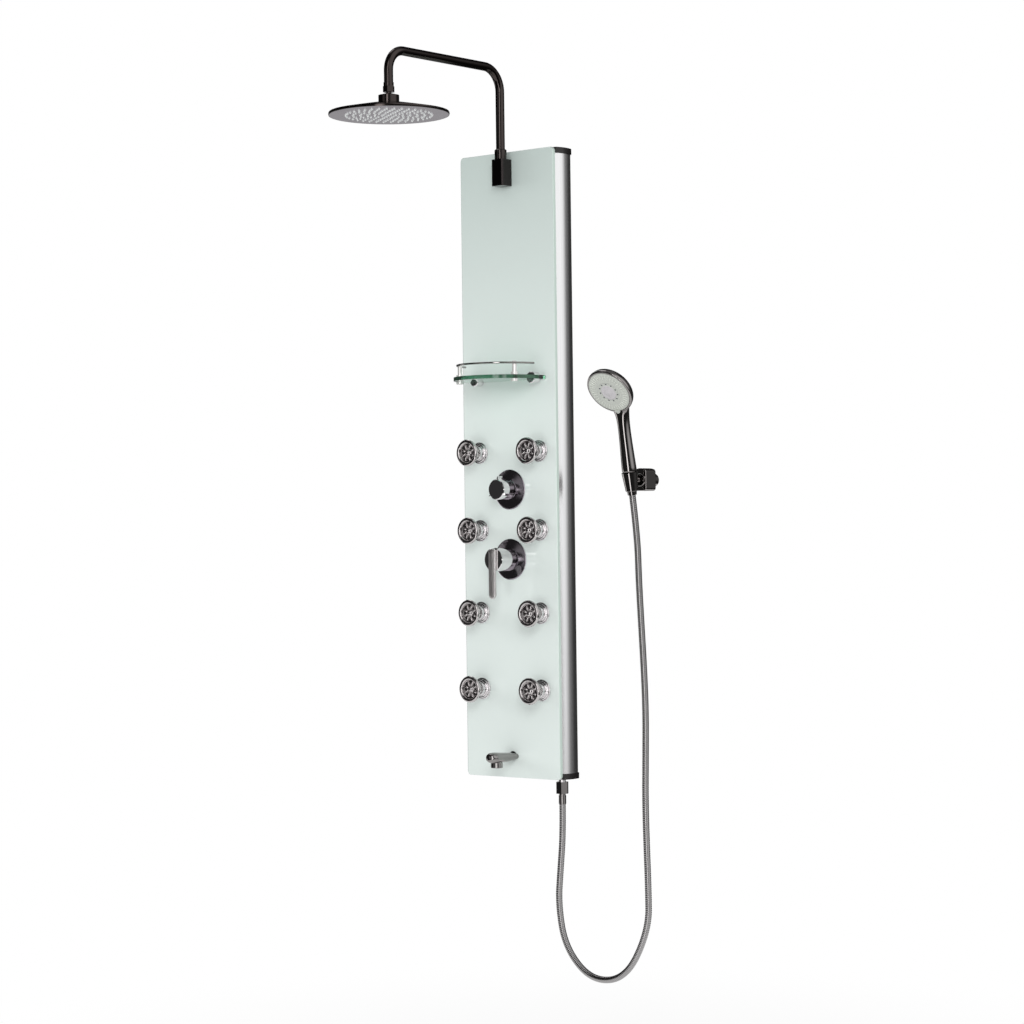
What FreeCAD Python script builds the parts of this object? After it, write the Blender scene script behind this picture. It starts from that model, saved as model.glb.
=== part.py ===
import FreeCAD, Part
import math
import os

# A wall-hung shower panel column: a tall glass panel on two aluminium side profiles, with an overhead
# arm and rain head, a small bottle shelf, a diverter, a single-lever mixer, eight swivelling body jets,
# a tub spout, and a hand shower on a metal hose in its own wall bracket.
# Millimetres. X right when facing the panel, Y into the wall (the wall is y = 0), Z up.
# The origin is the centre of the four wall-screw holes, on the wall.

Vector = FreeCAD.Vector
X_AXIS = Vector(1, 0, 0)
Y_AXIS = Vector(0, 1, 0)
Z_AXIS = Vector(0, 0, 1)
OUT = Vector(0, -1, 0)          # out of the wall, towards the person showering
DOWN = Vector(0, 0, -1)

PARTS = "parts"
FIT = 0.3                       # gap between pieces of different bodies
RUNNING_FIT = 0.06              # radial clearance of a shaft in its bore
SLIP_FIT = 0.1                  # radial clearance of a pipe in a socket

# Panel
PANEL_W = 262.0
PANEL_H = 1350.0
PANEL_FRONT = 60.0              # front of the glass to the wall
GLASS_T = 8.0
GLASS_CORNER = 9.0
GLASS_EDGE = 1.2                # polished chamfer round the front

# Side profiles and their caps
PROFILE_W = 18.0
PROFILE_BULGE = 6.5
PROFILE_WALL = 2.0
CAP_H = 12.5
CAP_LIP = 2.0
CAP_PLUG = 9.0
CAP_INSET = 0.6                 # the caps stop this far short of the glass's top and bottom

# What hangs the panel on the wall
HANGER_Z = 450.0
HANGER_W = 160.0
HANGER_H = 44.0
HANGER_T = 2.5
SCREW_SPACING_X = 120.0
SCREW_HOLE_R = 3.0
HOOK_DEPTH = 12.0
RAIL_H = 46.0
RAIL_T = 2.0
END_PLATE_T = 2.0

# Overhead arm
ARM_OUT = 17.0                  # riser's axis in front of the glass
ARM_R = 9.5
ARM_WALL = 1.5
ARM_TOP = 852.5
ARM_REACH = 429.0               # rain head's axis to the wall
ARM_BEND_FOOT = 50.0
ARM_BEND_HEAD = 45.0
BLOCK_W = 32.0
BLOCK_OUT = 30.5
BLOCK_BOTTOM = 600.0
BLOCK_TOP = 657.5
BLOCK_EDGE = 4.0
COLLAR_R = 13.0
COLLAR_H = 21.5
SOCKET_DEPTH = 24.0

# Rain head
HEAD_R = 125.0
HEAD_RIM_Z = 714.5              # lowest edge of the rim
HEAD_RIM_H = 6.0
HEAD_CROWN_Z = 741.0            # where the dome meets its hub
HEAD_WALL = 1.6
FACE_T = 1.6
NOZZLE_RINGS = 6
NOZZLE_PITCH = 14.8
NOZZLE_R = 1.5
NOZZLE_PROUD = 2.6
HUB_R = 21.5
HUB_H = 17.0
HUB_NECK_R = 11.5
HUB_BEVEL = 2.5
BALL_LIFT = 10.5                # ball centre above the dome
SWIVEL_GAP = 3.8
HEAD_BALL_R = 9.5
SEAT_T = 1.4
HEX_FLATS = 21.5

# Shelf
SHELF_Z = 184.0
SHELF_T = 8.0
SHELF_HALF_W = 105.0
SHELF_SIDE = 25.0               # straight part of each side
SHELF_CORNER_R = 70.0
SHELF_DEPTH = 125.0
SHELF_BACK_GAP = 2.0
RAIL_INSET = 8.0
RAIL_ROD_R = 2.2
RAIL_LIFT = 29.5
RAIL_SHORT = 5.0                # how far the rail's ends stop short of the straight sides
POST_X = 77.0
POST_R = 4.8
POST_CLAMP_R = 7.9
POST_ABOVE = 34.0
POST_BELOW = 10.0
SUPPORT_X = 80.0
SUPPORT_R = 12.4
SUPPORT_LEN = 22.0

# Body jets
JET_X = 84.0
JET_ROWS = (27.0, -142.0, -320.0, -485.0)
JET_BALL_OUT = 10.0             # ball centre in front of the glass
JET_BALL_R = 9.0
JET_RINGS = ((23.5, 3.0), (19.5, 6.0), (15.5, 16.0))     # radius and front of each step
JET_NECK_R = 5.5
JET_HEAD_R = 29.0
JET_HEAD_BACK = 27.0
JET_HEAD_FRONT = 47.0
JET_DISH_R = 23.0
JET_DISH_DEPTH = 5.0
JET_PETALS = 8
JET_TAIL_R = 11.0

# Diverter
DIVERTER_Z = -54.0
DIVERTER_PLATE_R = 43.0
KNOB_R = 22.0
KNOB_LEN = 37.0
KNOB_FIN = 7.0
KNOB_FINS = 3
PLATE_RISE = 7.0
KNOB_GAP = 2.0
STEM_R = 5.0

# Mixer
MIXER_Z = -204.5
MIXER_PLATE_R = 44.0
HUB_MIX_R = 25.0
HUB_MIX_LEN = 49.0
LEVER_W = 18.5
LEVER_T = 6.5
LEVER_DROP = 84.0               # tip below the hub's axis
LEVER_RISE = 23.5
LEVER_PIVOT_RISE = 16.5
LEVER_PIVOT_DEPTH = 5.0
LEVER_BARREL_R = 3.6
LEVER_PIN_R = 2.0
LEVER_PIN_LEN = 22.0

# Tub spout
SPOUT_Z = -628.0
SPOUT_REACH = 81.0
SPOUT_W = 32.0
SPOUT_TOP_FRONT = 11.5
SPOUT_TOP_BACK = 6.5
SPOUT_UNDER = 12.0
SPOUT_EDGE = 7.0
AERATOR_OUT = 54.0
AERATOR_R = 13.0
AERATOR_H = 10.5

# Water ways behind the glass
PIPE_R = 6.0
PIPE_WALL = 1.0
PIPE_DEPTH = 30.0               # pipe axes to the wall
PIPE_BEND = 24.0
VALVE_R = 20.0
BOSS = 6.0                      # pipe bosses stand this far out of a valve's drum
TAIL_R = 10.0
NUT_T = 8.0
INLET_X = 17.0
INLET_R = 10.48                 # G1/2 thread, over its crests
INLET_LEN = 14.0
INLET_DROP = 46.5               # inlets' axes below the mixer's
INLET_BACK = 36.0               # their shoulder to the wall
FOOT_T = 14.0
BRANCH_X = 44.0

# Hose and its lower fitting
HOSE_R = 7.0
HOSE_BORE_R = 4.2
HOSE_RIB = 0.7
HOSE_RIBS = 200
OUTLET_X = 105.0
OUTLET_DEPTH = 22.0
OUTLET_R = 7.5
OUTLET_FLANGE_R = 9.0
HOSE_NUT_TOP = -682.0
HOSE_NUT_H = 25.0
HOSE_NUT_FLATS = 24.0
SLEEVE_R = 8.0
SLEEVE_END = -729.0

# Hand shower and its bracket
HAND_X = 344.5
HAND_TILT = 10.1                # the handle leans out of the wall by this many degrees
HAND_FOOT_OUT = 73.5            # hose end of the handle's axis: distance from the wall, and height
HAND_FOOT_Z = -72.0
CONE_NUT_LEN = 36.0
CONE_NUT_R0 = 9.4
CONE_NUT_R1 = 13.2
HOLDER_START = 8.0
HOLDER_LEN = 39.0
HOLDER_WALL = 2.3
HANDLE_R = 13.0
HANDLE_FOOT_R = 15.5
FACE_TILT = 38.7                # the spray face looks this far below level
FACE_OUT = 147.3
FACE_Z = 138.2
FACE_R = 47.3
HEAD_HAND_R = 52.3
HEAD_HAND_DEPTH = 27.0
FACE_RECESS = 6.0
FACE_PIN_R = 5.0
HAND_WALL = 2.6
BRACKET_Z = -41.0
BRACKET_STEM_R = 14.0
BRACKET_STEM_LEN = 12.7
BRACKET_DEPTH = 34.0
BRACKET_W = 31.0
BRACKET_DROP = 22.5             # block's flat underside and its crown, from the ball's height
BRACKET_RISE = 24.5
BRACKET_CROWN = 4.0
BRACKET_BALL_R = 11.0
BRACKET_BALL_OUT = 35.0         # ball centre to the wall
BRACKET_RING_R = 13.6
BRACKET_RING_PROUD = 2.0
BRACKET_MOUTH_R = 9.0
BRACKET_FLARE = 2.0
BRACKET_NECK_R = 6.4
BRACKET_STUD_R = 2.5
BRACKET_STUD_LEN = 12.0

# The hose hangs from the outlet to the hand shower's cone nut: points of its route, chosen by hand.
# The first and last runs lie on the axes of the two fittings.
HOSE_ROUTE = (
    (OUTLET_X, -OUTLET_DEPTH, SLEEVE_END),
    (OUTLET_X, -OUTLET_DEPTH, -795.0),
    (103.0, -29.0, -868.0),
    (101.0, -35.5, -943.0),
    (123.0, -40.0, -1034.0),
    (197.0, -43.5, -1097.0),
    (291.0, -44.5, -1082.0),
    (351.0, -44.5, -975.0),
    (350.5, -44.0, -887.0),
    (347.0, -43.5, -795.0),
    (344.5, -42.5, -704.0),
    (345.5, -41.0, -615.0),
    (346.5, -40.0, -523.0),
    (344.0, -41.0, -433.0),
    (341.5, -44.5, -344.0),
    (341.0, -50.5, -252.0),
    (344.5, -58.138, -158.242),
    (HAND_X, -HAND_FOOT_OUT, HAND_FOOT_Z),
)

FRONT = -PANEL_FRONT                     # y of the glass's front
GLASS_BACK = FRONT + GLASS_T
HALF_W = PANEL_W / 2
HALF_H = PANEL_H / 2
INNER_X = HALF_W - PROFILE_W             # inner wall of a side profile
PROFILE_END = HALF_H - CAP_INSET - CAP_H
PIPE_Y = -PIPE_DEPTH
PLATE_HOLE_R = VALVE_R - 4


def save(node, *solids):
    # Writes one piece, or a group of alike pieces, as parts/NODE.step.
    shape = solids[0] if len(solids) == 1 else Part.makeCompound(list(solids))
    shape.exportStep(f"{PARTS}/{node}.step")
    print(f"{node}: {len(shape.Solids)} solid(s), {shape.Volume / 1000:.1f} cm3, valid {shape.isValid()}")
    return shape


def block(x, y, z):
    # A box from its low and high value along each axis.
    return Part.makeBox(x[1] - x[0], y[1] - y[0], z[1] - z[0], Vector(x[0], y[0], z[0]))


def rod(radius, start, direction, length):
    return Part.makeCylinder(radius, length, Vector(*start), Vector(*direction))


def ball(radius, centre):
    return Part.makeSphere(radius, Vector(*centre))


def aim(direction):
    return FreeCAD.Rotation(Z_AXIS, Vector(*direction))


def outline(points):
    # Joins points with lines. A point given as (through, to) is reached by an arc.
    edges = []
    here = Vector(*points[0])
    for point in points[1:]:
        if isinstance(point[0], tuple):
            through, to = Vector(*point[0]), Vector(*point[1])
            edges.append(Part.Arc(here, through, to).toShape())
        else:
            to = Vector(*point)
            edges.append(Part.makeLine(here, to))
        here = to
    return Part.Wire(edges)


def turned(profile, base, direction):
    # A turned piece: (distance along the axis, radius) points, closed, turned about the axis.
    points = []
    for point in tuple(profile) + (profile[0],):
        if isinstance(point[0], tuple):
            points.append(tuple((radius, 0, along) for along, radius in point))
        else:
            points.append((point[1], 0, point[0]))
    solid = Part.Face(outline(points)).revolve(Vector(0, 0, 0), Z_AXIS, 360)
    solid.Placement = FreeCAD.Placement(Vector(*base), aim(direction))
    return solid


def hexagon(flats, start, direction, length):
    corner = flats / math.sqrt(3)
    points = [(corner * math.cos(math.radians(60 * i)), corner * math.sin(math.radians(60 * i)), 0)
              for i in range(7)]
    solid = Part.Face(outline(points)).extrude(Z_AXIS * length)
    solid.Placement = FreeCAD.Placement(Vector(*start), aim(direction))
    return solid


def run_and_arc_wire(points, radii):
    # Straight runs joined by an arc at each inner point, tangent to both runs.
    points = [Vector(*point) for point in points]
    edges = []
    start = points[0]
    for before, corner, after, radius in zip(points, points[1:], points[2:], radii):
        back = (before - corner).normalize()
        ahead = (after - corner).normalize()
        half_turn = (math.pi - back.getAngle(ahead)) / 2
        reach = radius * math.tan(half_turn)
        first = corner + back * reach
        last = corner + ahead * reach
        middle = corner + (back + ahead).normalize() * (radius / math.cos(half_turn) - radius)
        edges.append(Part.makeLine(start, first))
        edges.append(Part.Arc(first, middle, last).toShape())
        start = last
    edges.append(Part.makeLine(start, points[-1]))
    return Part.Wire(edges)


def swept_rod(path, radius):
    first = path.Edges[0]
    start = first.valueAt(first.FirstParameter)
    section = Part.Wire(Part.makeCircle(radius, start, first.tangentAt(first.FirstParameter)))
    return path.makePipeShell([section], True, False)


def pipe(points, bends, radius, wall):
    path = run_and_arc_wire(points, bends)
    return swept_rod(path, radius).cut(swept_rod(path, radius - wall))


def eye(x, z):
    # Ring that a pipe ends in, round a threaded tail.
    start = (x, PIPE_Y - PIPE_R - 1, z)
    outer = rod(TAIL_R + 4, start, Y_AXIS, 2 * PIPE_R + 2)
    return outer.cut(rod(TAIL_R + SLIP_FIT, start, Y_AXIS, 2 * PIPE_R + 2))


def jet_places():
    return [(side * JET_X, row) for row in JET_ROWS for side in (-1, 1)]


# ---- Panel and what carries it ----

def make_glass():
    glass = block((-HALF_W, HALF_W), (FRONT, GLASS_BACK), (-HALF_H, HALF_H))
    glass = glass.makeFillet(GLASS_CORNER, [e for e in glass.Edges
                                            if abs(e.Vertexes[0].Y - e.Vertexes[-1].Y) > GLASS_T / 2])
    glass = glass.makeChamfer(GLASS_EDGE, [e for e in glass.Edges if e.BoundBox.YMax < FRONT + 0.01])
    holes = [(0, arm_tail_z(), TAIL_R), (0, SPOUT_Z, TAIL_R)]
    holes += [(0, DIVERTER_Z, PLATE_HOLE_R), (0, MIXER_Z, PLATE_HOLE_R)]
    holes += [(x, z, JET_TAIL_R) for x, z in jet_places()]
    holes += [(side * SUPPORT_X, SHELF_Z, POST_R) for side in (-1, 1)]
    cutters = [rod(radius + SLIP_FIT, (x, FRONT - 1, z), Y_AXIS, GLASS_T + 2) for x, z, radius in holes]
    return glass.cut(Part.makeCompound(cutters))


def arm_tail_z():
    return (BLOCK_BOTTOM + BLOCK_TOP) / 2


def profile_section(inset, side):
    # Section of a side profile, its outer wall a gentle arc; side is 1 on the right, -1 on the left.
    inner = side * (INNER_X + inset)
    outer = side * (HALF_W - inset)
    crown = side * (HALF_W + PROFILE_BULGE - inset)
    front, back = GLASS_BACK + inset, -inset
    points = [(inner, front, 0), (outer, front, 0),
              ((crown, (front + back) / 2, 0), (outer, back, 0)), (inner, back, 0), (inner, front, 0)]
    return Part.Face(outline(points))


def make_side_profile(side):
    start = Vector(0, 0, -PROFILE_END)
    outer = profile_section(0, side).extrude(Z_AXIS * 2 * PROFILE_END)
    inner = profile_section(PROFILE_WALL, side).extrude(Z_AXIS * 2 * PROFILE_END)
    profile = outer.cut(inner)
    profile.translate(start)
    return profile


def make_end_caps():
    caps = []
    for side in (-1, 1):
        for end in (-1, 1):
            grown = profile_section(-CAP_LIP, side).extrude(Z_AXIS * end * CAP_H)
            room = block((-HALF_W * 2, HALF_W * 2), (GLASS_BACK + SLIP_FIT, 0), (-CAP_H, CAP_H))
            kept = block(sorted((side * INNER_X, side * HALF_W * 2)), (FRONT, 0), (-CAP_H, CAP_H))
            lid = grown.common(room).common(kept)
            plug = profile_section(PROFILE_WALL + SLIP_FIT, side).extrude(Z_AXIS * -end * CAP_PLUG)
            cap = lid.fuse(plug).removeSplitter()
            cap.translate(Vector(0, 0, end * PROFILE_END))
            caps.append(cap)
    return caps


def make_wall_hangers():
    # Two plates on the wall, each with an upturned lip that the cross rail hooks over.
    hangers = []
    for z in (-HANGER_Z, HANGER_Z):
        low, high = z - HANGER_H / 2, z + HANGER_H / 2
        half = HANGER_W / 2
        plate = block((-half, half), (-HANGER_T, 0), (low, high))
        shelf = block((-half, half), (-HOOK_DEPTH, -HANGER_T), (high - HANGER_T, high))
        lip = block((-half, half), (-HOOK_DEPTH, -HOOK_DEPTH + HANGER_T), (high, high + HOOK_DEPTH))
        hanger = plate.fuse([shelf, lip]).removeSplitter()
        for side in (-1, 1):
            hanger = hanger.cut(rod(SCREW_HOLE_R, (side * SCREW_SPACING_X / 2, -HANGER_T - 1, z),
                                    Y_AXIS, HANGER_T + 2))
        hangers.append(hanger)
    return hangers


def make_cross_rails():
    # Two folded rails between the side profiles, hooked over the hangers' lips.
    rails = []
    for z in (-HANGER_Z, HANGER_Z):
        hook_top = z + HANGER_H / 2 + HOOK_DEPTH
        web_y = -HOOK_DEPTH - SLIP_FIT - RAIL_T
        web = block((-INNER_X, INNER_X), (web_y, web_y + RAIL_T), (hook_top + RAIL_T - RAIL_H, hook_top))
        roof = block((-INNER_X, INNER_X), (web_y, -HANGER_T - RAIL_T), (hook_top, hook_top + RAIL_T))
        tongue = block((-INNER_X, INNER_X), (-HANGER_T - 2 * RAIL_T, -HANGER_T - RAIL_T),
                       (hook_top - HOOK_DEPTH / 2, hook_top))
        rails.append(web.fuse([roof, tongue]).removeSplitter())
    return rails


def make_end_plates():
    # Plates that close the column's top and bottom between the side profiles.
    plates = []
    for end in (-1, 1):
        z = sorted((end * PROFILE_END, end * (PROFILE_END - END_PLATE_T)))
        plate = block((-INNER_X, INNER_X), (GLASS_BACK, -HANGER_T), z)
        if end < 0:
            plate = plate.cut(rod(OUTLET_R + SLIP_FIT, (OUTLET_X, -OUTLET_DEPTH, z[0] - 1), Z_AXIS,
                                  END_PLATE_T + 2))
        plates.append(plate)
    return plates


def ring_nut(x, z, bore):
    start = (x, GLASS_BACK, z)
    nut = hexagon(bore * 2 + 10, start, Y_AXIS, NUT_T)
    return nut.cut(rod(bore + SLIP_FIT, start, Y_AXIS, NUT_T))


def make_lock_nuts():
    # Nuts behind the glass: one on each jet, on the arm block, on the spout and on the shelf supports.
    places = [(x, z, JET_TAIL_R) for x, z in jet_places()]
    places += [(0, arm_tail_z(), TAIL_R), (0, SPOUT_Z, TAIL_R)]
    places += [(side * SUPPORT_X, SHELF_Z, POST_R) for side in (-1, 1)]
    return [ring_nut(*place) for place in places]


# ---- Overhead arm and rain head ----

ARM_Y = FRONT - ARM_OUT
BALL_Z = HEAD_CROWN_Z + BALL_LIFT
ARM_END_Z = HEAD_CROWN_Z + HUB_H + 24


def make_arm_connector():
    body = block((-BLOCK_W / 2, BLOCK_W / 2), (FRONT - BLOCK_OUT, FRONT), (BLOCK_BOTTOM, BLOCK_TOP))
    upright = [e for e in body.Edges
               if abs(e.BoundBox.ZLength - (BLOCK_TOP - BLOCK_BOTTOM)) < 1 and e.BoundBox.YMax < FRONT - 1]
    body = body.makeFillet(BLOCK_EDGE, upright)
    tail = rod(TAIL_R, (0, FRONT, arm_tail_z()), Y_AXIS, PANEL_FRONT - PIPE_DEPTH + PIPE_R + 4)
    socket = rod(ARM_R + SLIP_FIT, (0, ARM_Y, BLOCK_TOP - SOCKET_DEPTH), Z_AXIS, SOCKET_DEPTH + 1)
    return body.fuse(tail).cut(socket).removeSplitter()


def make_arm_nut():
    profile = ((0, ARM_R + SLIP_FIT), (0, COLLAR_R), (COLLAR_H - 1.5, COLLAR_R),
               (COLLAR_H, COLLAR_R - 1.5), (COLLAR_H, ARM_R + SLIP_FIT))
    return turned(profile, (0, ARM_Y, BLOCK_TOP), Z_AXIS)


def make_shower_arm():
    points = ((0, ARM_Y, BLOCK_TOP - SOCKET_DEPTH), (0, ARM_Y, ARM_TOP),
              (0, -ARM_REACH, ARM_TOP), (0, -ARM_REACH, ARM_END_Z))
    return pipe(points, (ARM_BEND_FOOT, ARM_BEND_HEAD), ARM_R, ARM_WALL)


def make_swivel_ball():
    # Hexagon and sleeve screwed on the arm, and the ball that the rain head hangs on.
    hub_top = HEAD_CROWN_Z + HUB_H
    hexagon_z = hub_top + SWIVEL_GAP
    hexagon_h = 12.0
    neck = rod(HEAD_BALL_R * 0.6, (0, -ARM_REACH, BALL_Z), Z_AXIS, hexagon_z - BALL_Z + 1)
    nut = hexagon(HEX_FLATS, (0, -ARM_REACH, hexagon_z), Z_AXIS, hexagon_h)
    sleeve = rod(ARM_R + 1.1, (0, -ARM_REACH, hexagon_z + hexagon_h), Z_AXIS,
                 ARM_END_Z - hexagon_z - hexagon_h)
    return ball(HEAD_BALL_R, (0, -ARM_REACH, BALL_Z)).fuse([neck, nut, sleeve])


def spherical_ring(inner, outer, half_height, centre, direction):
    # A ring cut from a spherical shell by two planes square to direction.
    shell = ball(outer, centre).cut(ball(inner, centre))
    base = Vector(*centre) - Vector(*direction) * half_height
    return shell.common(rod(outer + 1, base, direction, 2 * half_height))


def make_swivel_hub():
    seat_r = HEAD_BALL_R + 2 * FIT + SEAT_T
    profile = ((0, 0), (0, HUB_R), (HUB_H - HUB_BEVEL, HUB_R), (HUB_H, HUB_NECK_R), (HUB_H, 0))
    hub = turned(profile, (0, -ARM_REACH, HEAD_CROWN_Z), Z_AXIS)
    mouth = rod(HEAD_BALL_R, (0, -ARM_REACH, BALL_Z), Z_AXIS, HUB_H)
    return hub.cut(ball(seat_r, (0, -ARM_REACH, BALL_Z))).cut(mouth)


def make_rain_head_shell():
    top = HEAD_CROWN_Z - HEAD_RIM_Z
    shoulder = (HEAD_RIM_H + 9.5, HEAD_R * 0.62)
    profile = ((0, HEAD_R - HEAD_WALL), (0, HEAD_R - 0.6), (HEAD_RIM_H / 2, HEAD_R),
               (HEAD_RIM_H, HEAD_R - 1.0), (shoulder, (top, HUB_R)), (top, 0),
               (top - HEAD_WALL, 0), (top - HEAD_WALL, HUB_R),
               ((shoulder[0] - HEAD_WALL, shoulder[1]), (HEAD_RIM_H - HEAD_WALL, HEAD_R - 2.6)),
               (HEAD_RIM_H / 2, HEAD_R - HEAD_WALL))
    return turned(profile, (0, -ARM_REACH, HEAD_RIM_Z), Z_AXIS)


def nozzle_places():
    places = [(0.0, 0.0)]
    for ring in range(1, NOZZLE_RINGS + 1):
        count = 6 * ring
        for i in range(count):
            angle = 2 * math.pi * (i + 0.5 * (ring % 2)) / count
            places.append((ring * NOZZLE_PITCH * math.cos(angle), ring * NOZZLE_PITCH * math.sin(angle)))
    return places


def make_rain_head_face():
    radius = HEAD_R - HEAD_WALL - SLIP_FIT
    face = rod(radius, (0, -ARM_REACH, HEAD_RIM_Z), Z_AXIS, FACE_T)
    holes = [rod(NOZZLE_R + 0.25, (x, y - ARM_REACH, HEAD_RIM_Z - 1), Z_AXIS, FACE_T + 2)
             for x, y in nozzle_places()]
    return face.cut(Part.makeCompound(holes))


def make_rain_nozzles():
    # The soft mat inside the head, with a nozzle through each hole of the face.
    mat_z = HEAD_RIM_Z + FACE_T
    mat = rod(NOZZLE_RINGS * NOZZLE_PITCH + 5, (0, -ARM_REACH, mat_z), Z_AXIS, 1.2)
    tips = [turned(((0, 0), (0, NOZZLE_R - 0.6), (1.4, NOZZLE_R), (FACE_T + NOZZLE_PROUD + 0.5, NOZZLE_R),
                    (FACE_T + NOZZLE_PROUD + 0.5, 0)),
                   (x, y - ARM_REACH, HEAD_RIM_Z - NOZZLE_PROUD), Z_AXIS) for x, y in nozzle_places()]
    return mat.fuse(tips)


# ---- Shelf ----

SHELF_BACK_Y = FRONT - SHELF_BACK_GAP


def shelf_edges(inset, z, closed):
    # Plan of the bow-fronted shelf: straight sides, corner arcs and one front arc, all tangent.
    half = SHELF_HALF_W - inset
    corner = SHELF_CORNER_R - inset
    side_y = FRONT - SHELF_SIDE
    front_y = FRONT - SHELF_DEPTH + inset
    centre_x = half - corner
    drop = side_y - front_y
    bow = (centre_x ** 2 + drop ** 2 - corner ** 2) / (2 * (drop - corner))
    bow_y = front_y + bow
    reach = math.hypot(centre_x, side_y - bow_y)
    touch = [(centre_x / reach * bow, bow_y - (bow_y - side_y) / reach * bow)]
    trim = 0 if closed else RAIL_SHORT / corner
    middle_angle = (math.atan2(touch[0][1] - side_y, touch[0][0] - centre_x) - trim) / 2
    turn = (centre_x + corner * math.cos(middle_angle), side_y + corner * math.sin(middle_angle))
    start = (centre_x + corner * math.cos(trim), side_y - corner * math.sin(trim), z)
    points = [(half, SHELF_BACK_Y, z), start] if closed else [start]
    points.append(((turn[0], turn[1], z), (touch[0][0], touch[0][1], z)))
    points.append(((0, front_y, z), (-touch[0][0], touch[0][1], z)))
    points.append(((-turn[0], turn[1], z), (-start[0], start[1], z)))
    if closed:
        points += [(-half, SHELF_BACK_Y, z), (half, SHELF_BACK_Y, z)]
    return outline(points)


def post_place():
    # Where the rail passes a post: on its corner arc at POST_X.
    half = SHELF_HALF_W - RAIL_INSET
    corner = SHELF_CORNER_R - RAIL_INSET
    across = POST_X - (half - corner)
    return FRONT - SHELF_SIDE - math.sqrt(corner ** 2 - across ** 2)


def make_shelf_glass():
    shelf = Part.Face(shelf_edges(0, SHELF_Z - SHELF_T / 2, True)).extrude(Z_AXIS * SHELF_T)
    holes = [rod(POST_R - 1, (side * POST_X, post_place(), SHELF_Z - SHELF_T), Z_AXIS, 2 * SHELF_T)
             for side in (-1, 1)]
    return shelf.cut(Part.makeCompound(holes))


def make_shelf_rail():
    # The guard rail: one rod bent to the shelf's plan.
    return swept_rod(shelf_edges(RAIL_INSET, SHELF_Z + RAIL_LIFT, False), RAIL_ROD_R)


def make_shelf_posts():
    # Each post grips the shelf between two collars and holds the rail near its top.
    posts = []
    for side in (-1, 1):
        foot = (side * POST_X, post_place(), SHELF_Z)
        half = SHELF_T / 2
        upper = turned(((half, 0), (half, POST_CLAMP_R), (POST_BELOW, POST_CLAMP_R), (POST_BELOW, POST_R),
                        (POST_ABOVE - 1.5, POST_R), (POST_ABOVE, POST_R - 1.5), (POST_ABOVE, 0)),
                       foot, Z_AXIS)
        lower = turned(((half, 0), (half, POST_CLAMP_R), (POST_BELOW - 1, POST_CLAMP_R),
                        (POST_BELOW, POST_CLAMP_R - 1), (POST_BELOW, 0)), foot, DOWN)
        stud = rod(POST_R - 1 - SLIP_FIT, (foot[0], foot[1], SHELF_Z - half), Z_AXIS, SHELF_T)
        post = upper.fuse([lower, stud])
        path = shelf_edges(RAIL_INSET, SHELF_Z + RAIL_LIFT, False)
        posts.append(post.cut(swept_rod(path, RAIL_ROD_R + SLIP_FIT)))
    return posts


def make_shelf_supports():
    # Round clamps on the glass that hold the shelf's back edge in a slot.
    supports = []
    for side in (-1, 1):
        x = side * SUPPORT_X
        drum = turned(((0, 0), (0, SUPPORT_R - 2), (2, SUPPORT_R), (SUPPORT_LEN - 1.5, SUPPORT_R),
                       (SUPPORT_LEN, SUPPORT_R - 1.5), (SUPPORT_LEN, 0)), (x, FRONT, SHELF_Z), OUT)
        slot = block((x - SUPPORT_R - 1, x + SUPPORT_R + 1), (FRONT - SUPPORT_LEN - 1, SHELF_BACK_Y),
                     (SHELF_Z - SHELF_T / 2, SHELF_Z + SHELF_T / 2))
        screw = rod(POST_R, (x, FRONT, SHELF_Z), Y_AXIS, GLASS_T + NUT_T + 2)
        supports.append(drum.cut(slot).fuse(screw))
    return supports


# ---- Body jets ----

def make_jet_base(x, z):
    # Stepped flange with a round socket for the ball, and a threaded tail through the glass.
    profile = [(0, 0)]
    back = 0
    for radius, front in JET_RINGS:
        profile += [(back, radius), (front - 0.8, radius), (front, radius - 0.8)]
        back = front
    profile.append((back, 0))
    flange = turned(profile, (x, FRONT, z), OUT)
    tail = rod(JET_TAIL_R, (x, FRONT, z), Y_AXIS, GLASS_T + NUT_T + 3)
    centre = (x, FRONT - JET_BALL_OUT, z)
    socket = ball(JET_BALL_R + 2 * FIT + SEAT_T, centre)
    mouth = rod(JET_BALL_R + 0.5, centre, OUT, JET_RINGS[-1][1])
    water = rod(JET_NECK_R - 1, (x, FRONT - JET_BALL_OUT, z), Y_AXIS, JET_BALL_OUT + GLASS_T + NUT_T + 4)
    return flange.fuse(tail).cut(socket).cut(mouth).cut(water)


def make_jet_seat(x, z):
    inner = JET_BALL_R + FIT
    return spherical_ring(inner, inner + SEAT_T, 4.0, (x, FRONT - JET_BALL_OUT, z), OUT)


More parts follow.
